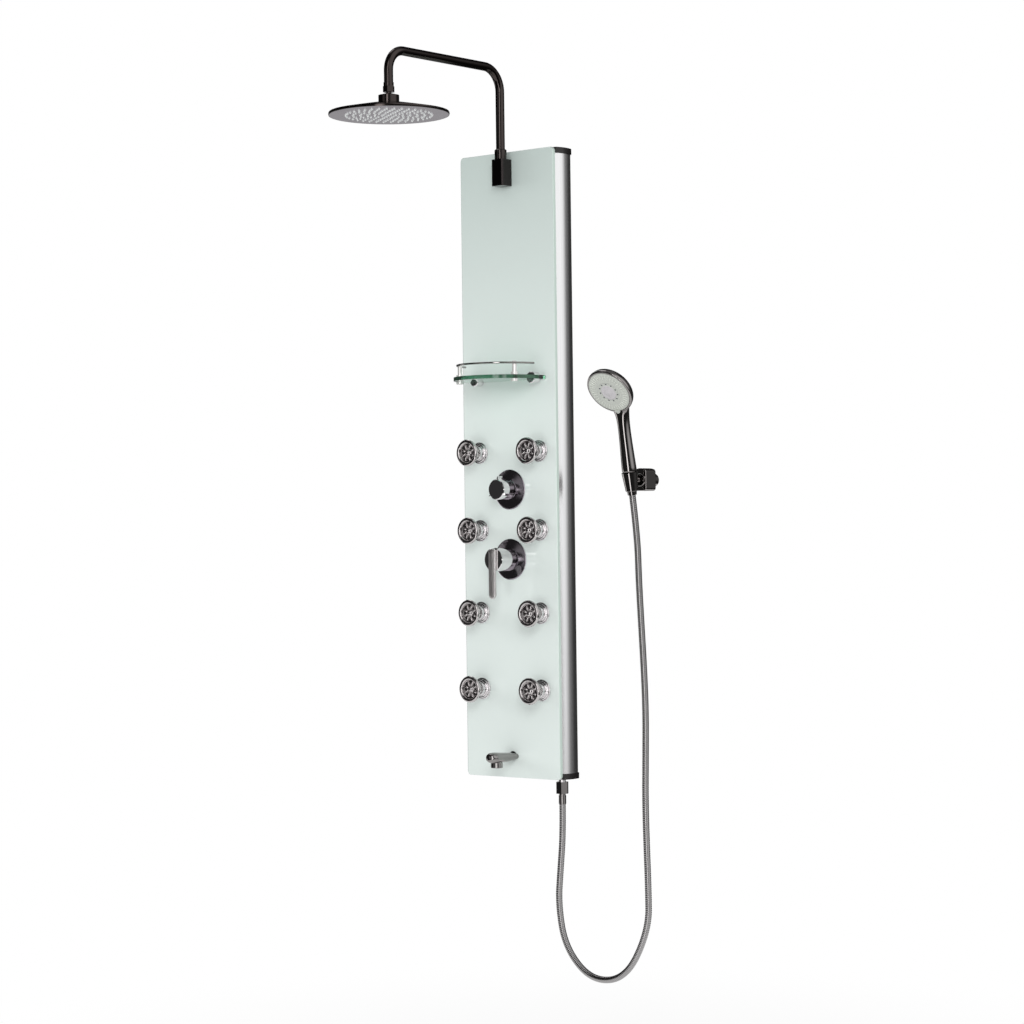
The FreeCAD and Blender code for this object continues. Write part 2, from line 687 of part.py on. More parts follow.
def make_jet_head(x, z):
    # Ball, neck, bell-shaped body and a dished face whose petals meet at a centre boss.
    lip = 2.0
    neck_end = JET_HEAD_BACK - 3
    dish = JET_HEAD_FRONT - JET_DISH_DEPTH
    profile = ((JET_BALL_OUT, 0), (JET_BALL_OUT, JET_NECK_R), (neck_end - 2, JET_NECK_R),
               (JET_HEAD_BACK, 15.0), (JET_HEAD_BACK + 6, JET_HEAD_R - 5),
               (JET_HEAD_BACK + 9, JET_HEAD_R - 1.5),
               (JET_HEAD_BACK + 10.5, JET_HEAD_R), (JET_HEAD_FRONT - 2.5, JET_HEAD_R),
               (JET_HEAD_FRONT, JET_HEAD_R - lip), (JET_HEAD_FRONT, JET_DISH_R + lip),
               (dish, JET_DISH_R), (dish - 1, 7.0), (dish + 3, 6.0), (dish + 3.5, 0))
    head = turned(profile, (x, FRONT, z), OUT)
    knob = ball(JET_BALL_R, (x, FRONT - JET_BALL_OUT, z))
    petals = []
    for i in range(JET_PETALS):
        petal = block((5.0, JET_DISH_R + 0.5), (-1.3, 1.3), (dish - 1.5, dish + 2.2))
        petal.rotate(Vector(0, 0, 0), Z_AXIS, 360 / JET_PETALS * (i + 0.5))
        petal.Placement = FreeCAD.Placement(Vector(x, FRONT, z), aim(OUT)).multiply(petal.Placement)
        petals.append(petal)
    return head.fuse([knob] + petals)


# ---- Diverter and mixer ----

def escutcheon(z, radius):
    bore = PLATE_HOLE_R - 1 + SLIP_FIT
    profile = ((0, bore), (0, radius), (2.0, radius), (4.5, radius - 5.5),
               ((PLATE_RISE - 0.6, (radius + bore) / 2), (PLATE_RISE, bore + 4)), (PLATE_RISE, bore))
    return turned(profile, (0, FRONT, z), OUT)


def make_diverter_valve():
    # Brass body: neck through the glass, a drum behind it and a bar with the outlets to the branches.
    neck = rod(PLATE_HOLE_R - 1, (0, PIPE_Y, DIVERTER_Z), OUT, PANEL_FRONT - PIPE_DEPTH + PLATE_RISE)
    drum = rod(VALVE_R, (0, PIPE_Y + 14, DIVERTER_Z), OUT, PANEL_FRONT - GLASS_T - PIPE_DEPTH + 14)
    half = PIPE_R + 6
    bar = block((-BRANCH_X - half, BRANCH_X + half), (PIPE_Y - half, PIPE_Y + half),
                (DIVERTER_Z - half, DIVERTER_Z + half))
    bosses = [rod(PIPE_R + 3, (0, PIPE_Y, DIVERTER_Z), Z_AXIS * way, VALVE_R + BOSS) for way in (-1, 1)]
    bore = rod(STEM_R + RUNNING_FIT, (0, PIPE_Y, DIVERTER_Z), OUT, PANEL_FRONT)
    return neck.fuse([drum, bar] + bosses).cut(bore).removeSplitter()


def make_diverter_knob():
    # Turned grip with three thin fins, on the spindle that turns the valve.
    start = PLATE_RISE + KNOB_GAP
    grip = turned(((0, 0), (0, KNOB_R - 1.5), (2, KNOB_R), (KNOB_LEN - 1.5, KNOB_R),
                   (KNOB_LEN, KNOB_R - 1.5), (KNOB_LEN, 0)),
                  (0, FRONT - start, DIVERTER_Z), OUT)
    fins = []
    for i in range(KNOB_FINS):
        tip = KNOB_R + KNOB_FIN
        fin = Part.Face(outline(((KNOB_R - 4, -3.2, 0), (tip, 0, 0), (KNOB_R - 4, 3.2, 0),
                                 (KNOB_R - 4, -3.2, 0)))).extrude(Z_AXIS * 17)
        fin.rotate(Vector(0, 0, 0), Z_AXIS, 360 / KNOB_FINS * i + 90)
        fin.translate(Vector(0, 0, start + KNOB_LEN - 22))
        fin.Placement = FreeCAD.Placement(Vector(0, FRONT, DIVERTER_Z),
                                          FreeCAD.Rotation(X_AXIS, 90)).multiply(fin.Placement)
        fins.append(fin)
    depth = PANEL_FRONT - PIPE_DEPTH - 4
    spindle = rod(STEM_R, (0, FRONT - start, DIVERTER_Z), Y_AXIS, start + depth)
    return grip.fuse(fins + [spindle])


def make_mixer_valve():
    # Brass body with one outlet above; its foot carries the hot and cold inlets, which face the wall.
    neck = rod(PLATE_HOLE_R - 1, (0, PIPE_Y, MIXER_Z), OUT, PANEL_FRONT - PIPE_DEPTH + PLATE_RISE)
    drum = rod(VALVE_R + 4, (0, PIPE_Y + 15, MIXER_Z), OUT, PANEL_FRONT - GLASS_T - PIPE_DEPTH + 15)
    half = INLET_X + INLET_R + 2
    inlet_z = MIXER_Z - INLET_DROP
    foot = block((-half, half), (-INLET_BACK - FOOT_T, -INLET_BACK), (inlet_z - INLET_R - 2, MIXER_Z - 8))
    inlets = [rod(INLET_R, (side * INLET_X, -INLET_BACK, inlet_z), Y_AXIS, INLET_LEN) for side in (-1, 1)]
    inlet_bores = [rod(INLET_R - 3, (side * INLET_X, -INLET_BACK - FOOT_T / 2, inlet_z), Y_AXIS,
                       INLET_LEN + FOOT_T) for side in (-1, 1)]
    bore = rod(STEM_R + RUNNING_FIT, (0, PIPE_Y, MIXER_Z), OUT, PANEL_FRONT)
    boss = rod(PIPE_R + 3, (0, PIPE_Y, MIXER_Z), Z_AXIS, VALVE_R + 4 + BOSS)
    body = neck.fuse([drum, foot, boss] + inlets).removeSplitter()
    return body.cut(Part.makeCompound(inlet_bores + [bore]))


MIX_HUB_START = PLATE_RISE + KNOB_GAP
MIX_HUB_FRONT = MIX_HUB_START + HUB_MIX_LEN
LEVER_BACK = MIX_HUB_FRONT + FIT
PIVOT = (0, FRONT - MIX_HUB_FRONT + LEVER_PIVOT_DEPTH, MIXER_Z + LEVER_PIVOT_RISE)


def make_mixer_hub():
    # Turns on the valve for temperature; the slot at its top carries the lever's pivot.
    grip = turned(((0, 0), (0, HUB_MIX_R - 1), (1, HUB_MIX_R), (HUB_MIX_LEN - 1, HUB_MIX_R),
                   (HUB_MIX_LEN, HUB_MIX_R - 1), (HUB_MIX_LEN, 0)), (0, FRONT - MIX_HUB_START, MIXER_Z), OUT)
    half = LEVER_W / 2 + FIT
    depth = LEVER_PIVOT_DEPTH + LEVER_BARREL_R + FIT
    slot = block((-half, half), (FRONT - MIX_HUB_FRONT - 1, FRONT - MIX_HUB_FRONT + depth),
                 (PIVOT[2] - LEVER_BARREL_R - 2, MIXER_Z + HUB_MIX_R + 1))
    pin_hole = rod(LEVER_PIN_R + RUNNING_FIT, (-LEVER_PIN_LEN / 2 - FIT, PIVOT[1], PIVOT[2]), X_AXIS,
                   LEVER_PIN_LEN + 2 * FIT)
    stem = rod(STEM_R, (0, FRONT - MIX_HUB_START, MIXER_Z), Y_AXIS,
               MIX_HUB_START + PANEL_FRONT - PIPE_DEPTH - 4)
    return grip.cut(slot).cut(pin_hole).fuse(stem)


def make_mixer_lever():
    # Flat bar across the hub's face, lifted by its tip for flow.
    half = LEVER_W / 2
    y = FRONT - LEVER_BACK
    top, tip = MIXER_Z + LEVER_RISE, MIXER_Z - LEVER_DROP
    sag = HUB_MIX_R - math.sqrt(HUB_MIX_R ** 2 - half ** 2)
    plan = outline(((-half, y, top - sag), ((0, y, top), (half, y, top - sag)), (half, y, tip + half),
                    ((0, y, tip), (-half, y, tip + half)), (-half, y, top - sag)))
    bar = Part.Face(plan).extrude(OUT * LEVER_T)
    bar = bar.makeFillet(1.2, [e for e in bar.Edges if e.BoundBox.YMax < y - LEVER_T + 0.01])
    barrel = rod(LEVER_BARREL_R, (-half, PIVOT[1], PIVOT[2]), X_AXIS, LEVER_W)
    web = block((-half, half), (y, PIVOT[1]), (PIVOT[2] - LEVER_BARREL_R, PIVOT[2] + LEVER_BARREL_R))
    pin = rod(LEVER_PIN_R, (-LEVER_PIN_LEN / 2, PIVOT[1], PIVOT[2]), X_AXIS, LEVER_PIN_LEN)
    return bar.fuse([barrel, web, pin]).removeSplitter()


# ---- Tub spout ----

def make_tub_spout():
    # Flattened spout: its plan has a round nose, its side view rises a little towards the nose.
    half = SPOUT_W / 2
    nose_y = FRONT - SPOUT_REACH
    top_z = SPOUT_Z + SPOUT_TOP_FRONT
    low_z = SPOUT_Z - SPOUT_UNDER
    plan = outline(((-half, FRONT, low_z), (half, FRONT, low_z), (half, nose_y + half, low_z),
                    ((0, nose_y, low_z), (-half, nose_y + half, low_z)), (-half, FRONT, low_z)))
    body = Part.Face(plan).extrude(Z_AXIS * (top_z - low_z))
    back_z = SPOUT_Z + SPOUT_TOP_BACK
    side_view = outline(((-half, FRONT, low_z), (-half, nose_y, low_z), (-half, nose_y, top_z),
                         (-half, FRONT, back_z), (-half, FRONT, low_z)))
    body = body.common(Part.Face(side_view).extrude(X_AXIS * SPOUT_W)).removeSplitter()
    long_edges = [e for e in body.Edges if e.BoundBox.YMin < FRONT - 2 and e.BoundBox.ZLength < 6
                  and e.Length > 5]
    body = body.makeFillet(SPOUT_EDGE, long_edges)
    tail = rod(TAIL_R, (0, FRONT, SPOUT_Z), Y_AXIS, PANEL_FRONT - PIPE_DEPTH + TAIL_R)
    well = rod(AERATOR_R - 2, (0, FRONT - AERATOR_OUT, low_z - 1), Z_AXIS, 7)
    return body.fuse(tail).cut(well)


def make_spout_aerator():
    low_z = SPOUT_Z - SPOUT_UNDER
    profile = ((0, 0), (0, AERATOR_R), (AERATOR_H - 1, AERATOR_R), (AERATOR_H, AERATOR_R - 1),
               (AERATOR_H, AERATOR_R - 3.5), (AERATOR_H - 3, AERATOR_R - 3.5), (AERATOR_H - 3, 0))
    collar = turned(profile, (0, FRONT - AERATOR_OUT, low_z), DOWN)
    thread = rod(AERATOR_R - 2 - SLIP_FIT, (0, FRONT - AERATOR_OUT, low_z), Z_AXIS, 5)
    return collar.fuse(thread)


# ---- Water ways ----

def make_overhead_pipe():
    start = (0, PIPE_Y, DIVERTER_Z + VALVE_R + BOSS)
    end_z = arm_tail_z() - TAIL_R - 2
    tube = rod(PIPE_R, start, Z_AXIS, end_z - start[2])
    bore = rod(PIPE_R - PIPE_WALL, start, Z_AXIS, end_z - start[2] + 3)
    return tube.fuse(eye(0, arm_tail_z())).cut(bore)


def make_jet_pipes():
    # A manifold down each column of jets, with a tee at each jet and a feed from the diverter.
    pipes = []
    tee_front = GLASS_BACK + NUT_T + 3
    tee_y = tee_front + 12
    bore_r = PIPE_R - PIPE_WALL
    height = JET_ROWS[0] - JET_ROWS[-1]
    bar_end = BRANCH_X + PIPE_R + 6
    for side in (-1, 1):
        x = side * JET_X
        manifold = rod(PIPE_R, (x, tee_y, JET_ROWS[-1]), Z_AXIS, height)
        feed = rod(PIPE_R, (side * bar_end, tee_y, DIVERTER_Z), X_AXIS * side, JET_X - bar_end)
        tees = [rod(PIPE_R + 3, (x, tee_front, row), Y_AXIS, 12 + PIPE_R + 3) for row in JET_ROWS]
        bores = [rod(JET_NECK_R - 1, (x, tee_front - 1, row), Y_AXIS, 13) for row in JET_ROWS]
        bores.append(rod(bore_r, (x, tee_y, JET_ROWS[-1]), Z_AXIS, height))
        bores.append(rod(bore_r, (side * (bar_end - 1), tee_y, DIVERTER_Z), X_AXIS * side, JET_X - bar_end))
        pipes.append(manifold.fuse([feed] + tees).cut(Part.makeCompound(bores)))
    return pipes


def make_branch_pipes():
    # Mixer to diverter, diverter to tub spout and diverter to the hose outlet.
    bar_low = DIVERTER_Z - PIPE_R - 6
    link_low = MIXER_Z + VALVE_R + 4 + BOSS
    link_length = DIVERTER_Z - VALVE_R - BOSS - link_low
    link = rod(PIPE_R, (0, PIPE_Y, link_low), Z_AXIS, link_length)
    link = link.cut(rod(PIPE_R - PIPE_WALL, (0, PIPE_Y, link_low), Z_AXIS, link_length))
    end_x = -TAIL_R - 2
    spout_points = ((-BRANCH_X, PIPE_Y, bar_low), (-BRANCH_X, PIPE_Y, SPOUT_Z), (end_x, PIPE_Y, SPOUT_Z))
    path = run_and_arc_wire(spout_points, (PIPE_BEND,))
    bore = rod(PIPE_R - PIPE_WALL, (end_x - 3, PIPE_Y, SPOUT_Z), X_AXIS, 6)
    spout = swept_rod(path, PIPE_R).fuse(eye(0, SPOUT_Z)).cut(swept_rod(path, PIPE_R - PIPE_WALL)).cut(bore)
    turn_z = SPOUT_Z + 40
    inlet_top = -PROFILE_END + 16
    hand = pipe(((BRANCH_X, PIPE_Y, bar_low), (BRANCH_X, PIPE_Y, turn_z),
                 (OUTLET_X, -OUTLET_DEPTH, turn_z - 14), (OUTLET_X, -OUTLET_DEPTH, inlet_top)),
                (PIPE_BEND, PIPE_BEND), PIPE_R, PIPE_WALL)
    return [link, spout, hand]


# ---- Hose outlet, hose and fittings ----

def make_hose_outlet():
    # Nipple through the bottom plate, with a flange above it and the end that the hose nut screws on.
    top = -PROFILE_END + END_PLATE_T
    base = (OUTLET_X, -OUTLET_DEPTH, HOSE_NUT_TOP - 8)
    flange_low = top - base[2]
    inlet_end = -PROFILE_END + 16 - base[2]
    bore = OUTLET_R - 2.5
    profile = ((0, bore), (0, OUTLET_R), (flange_low, OUTLET_R), (flange_low, OUTLET_FLANGE_R - 1.2),
               (inlet_end, OUTLET_FLANGE_R - 1.2), (inlet_end, bore))
    return turned(profile, base, Z_AXIS)


def make_hose_nut():
    # Hexagon nut and the sleeve crimped on the hose.
    top = (OUTLET_X, -OUTLET_DEPTH, HOSE_NUT_TOP)
    nut = hexagon(HOSE_NUT_FLATS, top, DOWN, HOSE_NUT_H)
    length = HOSE_NUT_TOP - SLEEVE_END
    sleeve = turned(((HOSE_NUT_H - 1, 0), (HOSE_NUT_H - 1, SLEEVE_R - 1), (HOSE_NUT_H + 4, SLEEVE_R - 1),
                     (HOSE_NUT_H + 4, SLEEVE_R), (length, SLEEVE_R), (length, 0)), top, DOWN)
    socket = rod(OUTLET_R + SLIP_FIT, top, DOWN, 8)
    return nut.fuse(sleeve).cut(socket)


def hose_radii():
    # Each arc's radius is 0.45 of its shorter run over the tangent of half the turn.
    points = [Vector(*point) for point in HOSE_ROUTE]
    radii = []
    for before, corner, after in zip(points, points[1:], points[2:]):
        shorter = min((corner - before).Length, (after - corner).Length)
        half_turn = (corner - before).getAngle(after - corner) / 2
        radii.append(0.45 * shorter / math.tan(half_turn))
    return radii


def ring_at(path_points, index, radius):
    # A circle square to the route at one of its points, its X axis held steady.
    centre, tangent = path_points[index]
    side = tangent.cross(Vector(0.19, 0.98, 0)).normalize()
    steady = side.cross(tangent).normalize()
    circle = Part.makeCircle(radius)
    turn = FreeCAD.Rotation(steady, tangent.cross(steady), tangent, "ZXY")
    circle.Placement = FreeCAD.Placement(centre, turn)
    return Part.Wire(circle)


def point_on(path, lengths, distance):
    # Place and direction at a distance along the route.
    for edge, start, end in lengths:
        if distance <= end or edge is lengths[-1][0]:
            share = edge.getParameterByLength(min(max(distance - start, 0), edge.Length))
            return edge.valueAt(share), edge.tangentAt(share)


def make_shower_hose():
    # A ribbed tube with its bore: straight for one diameter at each end, ribs all the way between.
    radii = hose_radii()
    path = run_and_arc_wire(HOSE_ROUTE, radii)
    print("hose arc radii:", " ".join(f"{radius:.0f}" for radius in radii))
    lengths, here = [], 0.0
    for edge in path.Edges:
        lengths.append((edge, here, here + edge.Length))
        here += edge.Length
    print(f"hose length {here:.1f} mm, runs in all "
          f"{sum((Vector(*b) - Vector(*a)).Length for a, b in zip(HOSE_ROUTE, HOSE_ROUTE[1:])):.1f} mm")
    plain = 2 * HOSE_R
    pitch = (here - 2 * plain) / HOSE_RIBS
    stations = [(0.0, HOSE_R - HOSE_RIB)]
    for rib in range(HOSE_RIBS):
        start = plain + rib * pitch
        for share, high in ((0.0, False), (0.25, True), (0.6, True), (0.85, False)):
            radius = HOSE_R if high else HOSE_R - HOSE_RIB
            stations.append((start + share * pitch, radius))
    stations += [(here - plain, HOSE_R - HOSE_RIB), (here, HOSE_R - HOSE_RIB)]
    places = [point_on(path, lengths, distance) for distance, _ in stations]
    outer_rings = [ring_at(places, i, radius) for i, (_, radius) in enumerate(stations)]
    inner_rings = [ring_at(places, i, HOSE_BORE_R) for i in range(len(stations))]
    inner_rings = inner_rings[:1] + inner_rings[1:-1:8] + inner_rings[-1:]
    outer = Part.makeLoft(outer_rings, True, True)
    inner = Part.makeLoft(inner_rings, True, True)
    hose = outer.cut(inner)
    section = math.pi * ((HOSE_R - 0.4 * HOSE_RIB) ** 2 - HOSE_BORE_R ** 2)
    print(f"hose volume {hose.Volume:.0f} mm3, section x length {section * here:.0f} mm3, ribs {HOSE_RIBS}")
    return hose


# ---- Hand shower and its wall bracket ----

LEAN = math.radians(HAND_TILT)
HANDLE_UP = Vector(0, -math.sin(LEAN), math.cos(LEAN))
HANDLE_OUT = Vector(0, -math.cos(LEAN), -math.sin(LEAN))
LOOK = math.radians(FACE_TILT)
FACE_OUTWARD = Vector(0, -math.cos(LOOK), -math.sin(LOOK))
FACE_CENTRE = Vector(HAND_X, -FACE_OUT, FACE_Z)
HAND_FOOT = Vector(HAND_X, -HAND_FOOT_OUT, HAND_FOOT_Z)


def on_handle(along, forward=0.0):
    return HAND_FOOT + HANDLE_UP * along + HANDLE_OUT * forward


def cone_radius(along):
    # Radius of the cone nut's outside at a distance from the hose's end.
    return CONE_NUT_R0 + (CONE_NUT_R1 - CONE_NUT_R0) * along / CONE_NUT_LEN


def make_hose_cone_nut():
    return turned(((0, 0), (0, CONE_NUT_R0), (CONE_NUT_LEN, CONE_NUT_R1), (CONE_NUT_LEN, 0)),
                  HAND_FOOT, HANDLE_UP)


def handle_loft(shrink):
    # The handle and neck, along the spine: place along and forward of the handle's axis, radius, bend.
    spine = ((50, 0, HANDLE_FOOT_R, 0), (84, 0, (HANDLE_R + HANDLE_FOOT_R) / 2, 0), (122, 0, HANDLE_R, 0),
             (150, 0, HANDLE_R - 0.2, 0), (174, 0.5, HANDLE_R, 10), (188, 3.5, HANDLE_R - 0.6, 32),
             (199, 9, HANDLE_R - 3.5, 52))
    sections = []
    for along, forward, radius, bend in spine:
        angle = math.radians(bend)
        direction = HANDLE_UP * math.cos(angle) + HANDLE_OUT * math.sin(angle)
        turn = FreeCAD.Rotation(X_AXIS, direction.cross(X_AXIS), direction, "ZXY")
        circle = Part.makeCircle(radius - shrink)
        circle.Placement = FreeCAD.Placement(on_handle(along, forward), turn)
        sections.append(Part.Wire(circle))
    return Part.makeLoft(sections, True, False)


def make_hand_shower_body():
    # Hollow handle, neck and round head; the head has a recess for the spray face.
    foot = turned(((CONE_NUT_LEN, 0), (CONE_NUT_LEN, CONE_NUT_R1 - 0.6), (46.5, CONE_NUT_R1 + 0.2),
                   (50.5, HANDLE_FOOT_R), (50.5, 0)), HAND_FOOT, HANDLE_UP)
    dome = turned(((0, 0), (0, HEAD_HAND_R - 2), (2, HEAD_HAND_R), (7, HEAD_HAND_R),
                   ((HEAD_HAND_DEPTH * 0.72, HEAD_HAND_R * 0.68), (HEAD_HAND_DEPTH, 0))),
                  FACE_CENTRE, FACE_OUTWARD * -1)
    floor = FACE_RECESS + HAND_WALL
    chamber = turned(((floor, 0), (floor, HEAD_HAND_R - 9),
                      ((HEAD_HAND_DEPTH * 0.72 - 1.5, HEAD_HAND_R * 0.68 - HAND_WALL),
                       (HEAD_HAND_DEPTH - HAND_WALL, 0))), FACE_CENTRE, FACE_OUTWARD * -1)
    water = turned(((CONE_NUT_LEN - 1, 0), (CONE_NUT_LEN - 1, 6), (52, 6), (52, 0)), HAND_FOOT, HANDLE_UP)
    recess = rod(FACE_R + FIT, FACE_CENTRE + FACE_OUTWARD, FACE_OUTWARD * -1, FACE_RECESS + 1)
    front = rod(HEAD_HAND_R + 3.5, FACE_CENTRE, FACE_OUTWARD, 30)
    pin_hole = rod(FACE_PIN_R + RUNNING_FIT, FACE_CENTRE, FACE_OUTWARD * -1, floor + 1)
    body = dome.fuse([handle_loft(0), foot]).cut(recess).cut(front)
    return body.cut(chamber.fuse(handle_loft(HAND_WALL))).cut(water).cut(pin_hole)


def make_hand_shower_face():
    # The turning spray face with its nozzles, a raised centre disc and the tab that turns it.
    back = FACE_CENTRE - FACE_OUTWARD * (FACE_RECESS - FIT)
    depth = FACE_RECESS - FIT
    plate = turned(((0, 0), (0, FACE_R), (depth, FACE_R), (depth + 1.2, FACE_R - 2),
                    (depth + 1.8, 17.0), (depth + 2.4, 16.5), (depth + 2.4, 0)), back, FACE_OUTWARD)
    spin_pin = rod(FACE_PIN_R, back, FACE_OUTWARD * -1, HAND_WALL + FIT)
    tips = []
    placement = FreeCAD.Placement(FACE_CENTRE + FACE_OUTWARD * 1.2, aim(FACE_OUTWARD))
    for ring, count in ((24.0, 16), (31.5, 24), (39.0, 32)):
        for i in range(count):
            angle = 2 * math.pi * i / count
            spot = placement.multVec(Vector(ring * math.cos(angle), ring * math.sin(angle), 0))
            tips.append(rod(1.3, spot, FACE_OUTWARD, 1.6))
    down = X_AXIS.cross(FACE_OUTWARD) * -1
    if down.z > 0:
        down = down * -1
    tab = turned(((0, 0), (0, 5.2), (4.5, 4.8), (9.5, 1.4), (9.5, 0)),
                 FACE_CENTRE + down * (FACE_R - 2) + FACE_OUTWARD * 0.4, down)
    clear = rod(HEAD_HAND_R + 12, FACE_CENTRE + FACE_OUTWARD * FIT, FACE_OUTWARD * -1, 30)
    outside = clear.cut(rod(FACE_R, FACE_CENTRE + FACE_OUTWARD * 2, FACE_OUTWARD * -1, 40))
    return plate.fuse([spin_pin] + tips + [tab.cut(outside)])


BRACKET_CENTRE = (HAND_X, -BRACKET_BALL_OUT, BRACKET_Z)
BRACKET_FRONT = BRACKET_STEM_LEN + BRACKET_DEPTH
RING_BACK = BRACKET_BALL_OUT + 3.5


def make_bracket_base():
    # Round stem on a wall stud and a crowned block with the ball's seat in its front.
    wall = (HAND_X, 0, BRACKET_Z)
    half = BRACKET_W / 2
    section = outline(((-half, -BRACKET_DROP, 0), (half, -BRACKET_DROP, 0),
                       (half, BRACKET_RISE - BRACKET_CROWN, 0),
                       ((0, BRACKET_RISE, 0), (-half, BRACKET_RISE - BRACKET_CROWN, 0)),
                       (-half, -BRACKET_DROP, 0)))
    body = Part.Face(section).extrude(Z_AXIS * BRACKET_DEPTH)
    body = body.makeFillet(6.0, [e for e in body.Edges if abs(e.BoundBox.ZLength - BRACKET_DEPTH) < 0.1])
    body = body.makeFillet(1.2, [e for e in body.Edges if e.BoundBox.ZMin > BRACKET_DEPTH - 0.1
                                 or e.BoundBox.ZMax < 0.1])
    body.Placement = FreeCAD.Placement(Vector(HAND_X, -BRACKET_STEM_LEN, BRACKET_Z),
                                       FreeCAD.Rotation(X_AXIS, 90))
    stem = rod(BRACKET_STEM_R, wall, OUT, BRACKET_STEM_LEN + 2)
    thread = rod(BRACKET_RING_R + SLIP_FIT, (HAND_X, -RING_BACK, BRACKET_Z), OUT, BRACKET_DEPTH)
    stud = rod(BRACKET_STUD_R, wall, OUT, BRACKET_STUD_LEN)
    return body.fuse(stem).cut(ball(BRACKET_BALL_R + FIT, BRACKET_CENTRE)).cut(thread).cut(stud)


def make_bracket_ring():
    # Threaded ring that keeps the ball in the block.
    start = (HAND_X, -RING_BACK, BRACKET_Z)
    depth = BRACKET_FRONT + BRACKET_RING_PROUD - RING_BACK
    ring = turned(((0, 0), (0, BRACKET_RING_R), (depth - 1, BRACKET_RING_R), (depth, BRACKET_RING_R - 1),
                   (depth, BRACKET_MOUTH_R + BRACKET_FLARE), (depth * 0.35, BRACKET_MOUTH_R),
                   (depth * 0.35, 0)), start, OUT)
    mouth = rod(BRACKET_MOUTH_R, start, OUT, depth)
    return ring.cut(ball(BRACKET_BALL_R + FIT, BRACKET_CENTRE)).cut(mouth)


def make_bracket_holder():
    # Ball and neck that carry the open cone in which the hand shower's cone nut rests.
    start = on_handle(HOLDER_START)
    r0 = cone_radius(HOLDER_START) + FIT
    r1 = cone_radius(HOLDER_START + HOLDER_LEN) + FIT
    cone = turned(((0, r0), (0, r0 + HOLDER_WALL - 0.8), (0.8, r0 + HOLDER_WALL),
                   (HOLDER_LEN, r1 + HOLDER_WALL), (HOLDER_LEN, r1)), start, HANDLE_UP)
    knob = ball(BRACKET_BALL_R, BRACKET_CENTRE)
    axis_y = on_handle(HOLDER_START + HOLDER_LEN / 2).y
    neck = rod(BRACKET_NECK_R, BRACKET_CENTRE, OUT, -BRACKET_BALL_OUT - axis_y)
    hollow = turned(((-5, 0), (-5, r0), (0, r0), (HOLDER_LEN, r1), (HOLDER_LEN + 5, r1), (HOLDER_LEN + 5, 0)),
                    start, HANDLE_UP)
    return knob.fuse(neck).cut(hollow).fuse(cone)


def main():
    os.makedirs(PARTS, exist_ok=True)
    save("glass_panel", make_glass())
    save("side_profile_left", make_side_profile(-1))
    save("side_profile_right", make_side_profile(1))
    save("end_caps", *make_end_caps())
    save("end_plates", *make_end_plates())
    save("wall_hangers", *make_wall_hangers())
    save("cross_rails", *make_cross_rails())
    save("lock_nuts", *make_lock_nuts())
    save("arm_connector", make_arm_connector())
    save("arm_nut", make_arm_nut())
    save("shower_arm", make_shower_arm())
    save("swivel_ball", make_swivel_ball())
    head_seat = HEAD_BALL_R + FIT
    save("swivel_seat", spherical_ring(head_seat, head_seat + SEAT_T, 4.5, (0, -ARM_REACH, BALL_Z), Z_AXIS))
    save("swivel_hub", make_swivel_hub())
    save("rain_head_shell", make_rain_head_shell())
    save("rain_head_face", make_rain_head_face())
    save("rain_nozzles", make_rain_nozzles())
    save("shelf_glass", make_shelf_glass())
    save("shelf_rail", make_shelf_rail())
    save("shelf_posts", *make_shelf_posts())
    save("shelf_supports", *make_shelf_supports())
    save("jet_bases", *[make_jet_base(x, z) for x, z in jet_places()])
    for number, (x, z) in enumerate(jet_places(), 1):
        save(f"jet_seat_{number}", make_jet_seat(x, z))
        save(f"jet_head_{number}", make_jet_head(x, z))
    save("diverter_escutcheon", escutcheon(DIVERTER_Z, DIVERTER_PLATE_R))
    save("diverter_valve", make_diverter_valve())
    save("diverter_knob", make_diverter_knob())
    save("mixer_escutcheon", escutcheon(MIXER_Z, MIXER_PLATE_R))
    save("mixer_valve", make_mixer_valve())
    save("mixer_hub", make_mixer_hub())
    save("mixer_lever", make_mixer_lever())
    save("tub_spout", make_tub_spout())
    save("spout_aerator", make_spout_aerator())
    save("overhead_pipe", make_overhead_pipe())
    save("jet_pipes", *make_jet_pipes())
    save("branch_pipes", *make_branch_pipes())
    save("hose_outlet", make_hose_outlet())
    save("hose_nut", make_hose_nut())
    save("shower_hose", make_shower_hose())
    save("hose_cone_nut", make_hose_cone_nut())
    save("hand_shower_body", make_hand_shower_body())
    save("hand_shower_face", make_hand_shower_face())
    save("bracket_base", make_bracket_base())
    save("bracket_ring", make_bracket_ring())
    save("bracket_holder", make_bracket_holder())


main()
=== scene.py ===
import math

import bmesh
import bpy
from mathutils import Matrix, Vector


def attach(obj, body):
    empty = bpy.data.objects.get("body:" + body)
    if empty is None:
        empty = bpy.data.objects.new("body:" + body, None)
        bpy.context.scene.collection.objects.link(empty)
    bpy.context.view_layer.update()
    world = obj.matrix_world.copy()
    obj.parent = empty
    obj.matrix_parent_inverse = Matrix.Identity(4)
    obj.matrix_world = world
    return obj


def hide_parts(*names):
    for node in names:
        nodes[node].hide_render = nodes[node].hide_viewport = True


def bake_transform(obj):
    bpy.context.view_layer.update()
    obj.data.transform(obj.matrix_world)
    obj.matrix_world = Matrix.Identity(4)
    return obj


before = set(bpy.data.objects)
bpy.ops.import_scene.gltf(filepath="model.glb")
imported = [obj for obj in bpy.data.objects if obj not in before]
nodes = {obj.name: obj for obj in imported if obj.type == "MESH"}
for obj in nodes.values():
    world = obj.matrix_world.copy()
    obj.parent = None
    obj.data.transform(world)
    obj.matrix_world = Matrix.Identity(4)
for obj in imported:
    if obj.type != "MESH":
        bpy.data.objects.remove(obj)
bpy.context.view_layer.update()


# Camera, at the photograph's angle

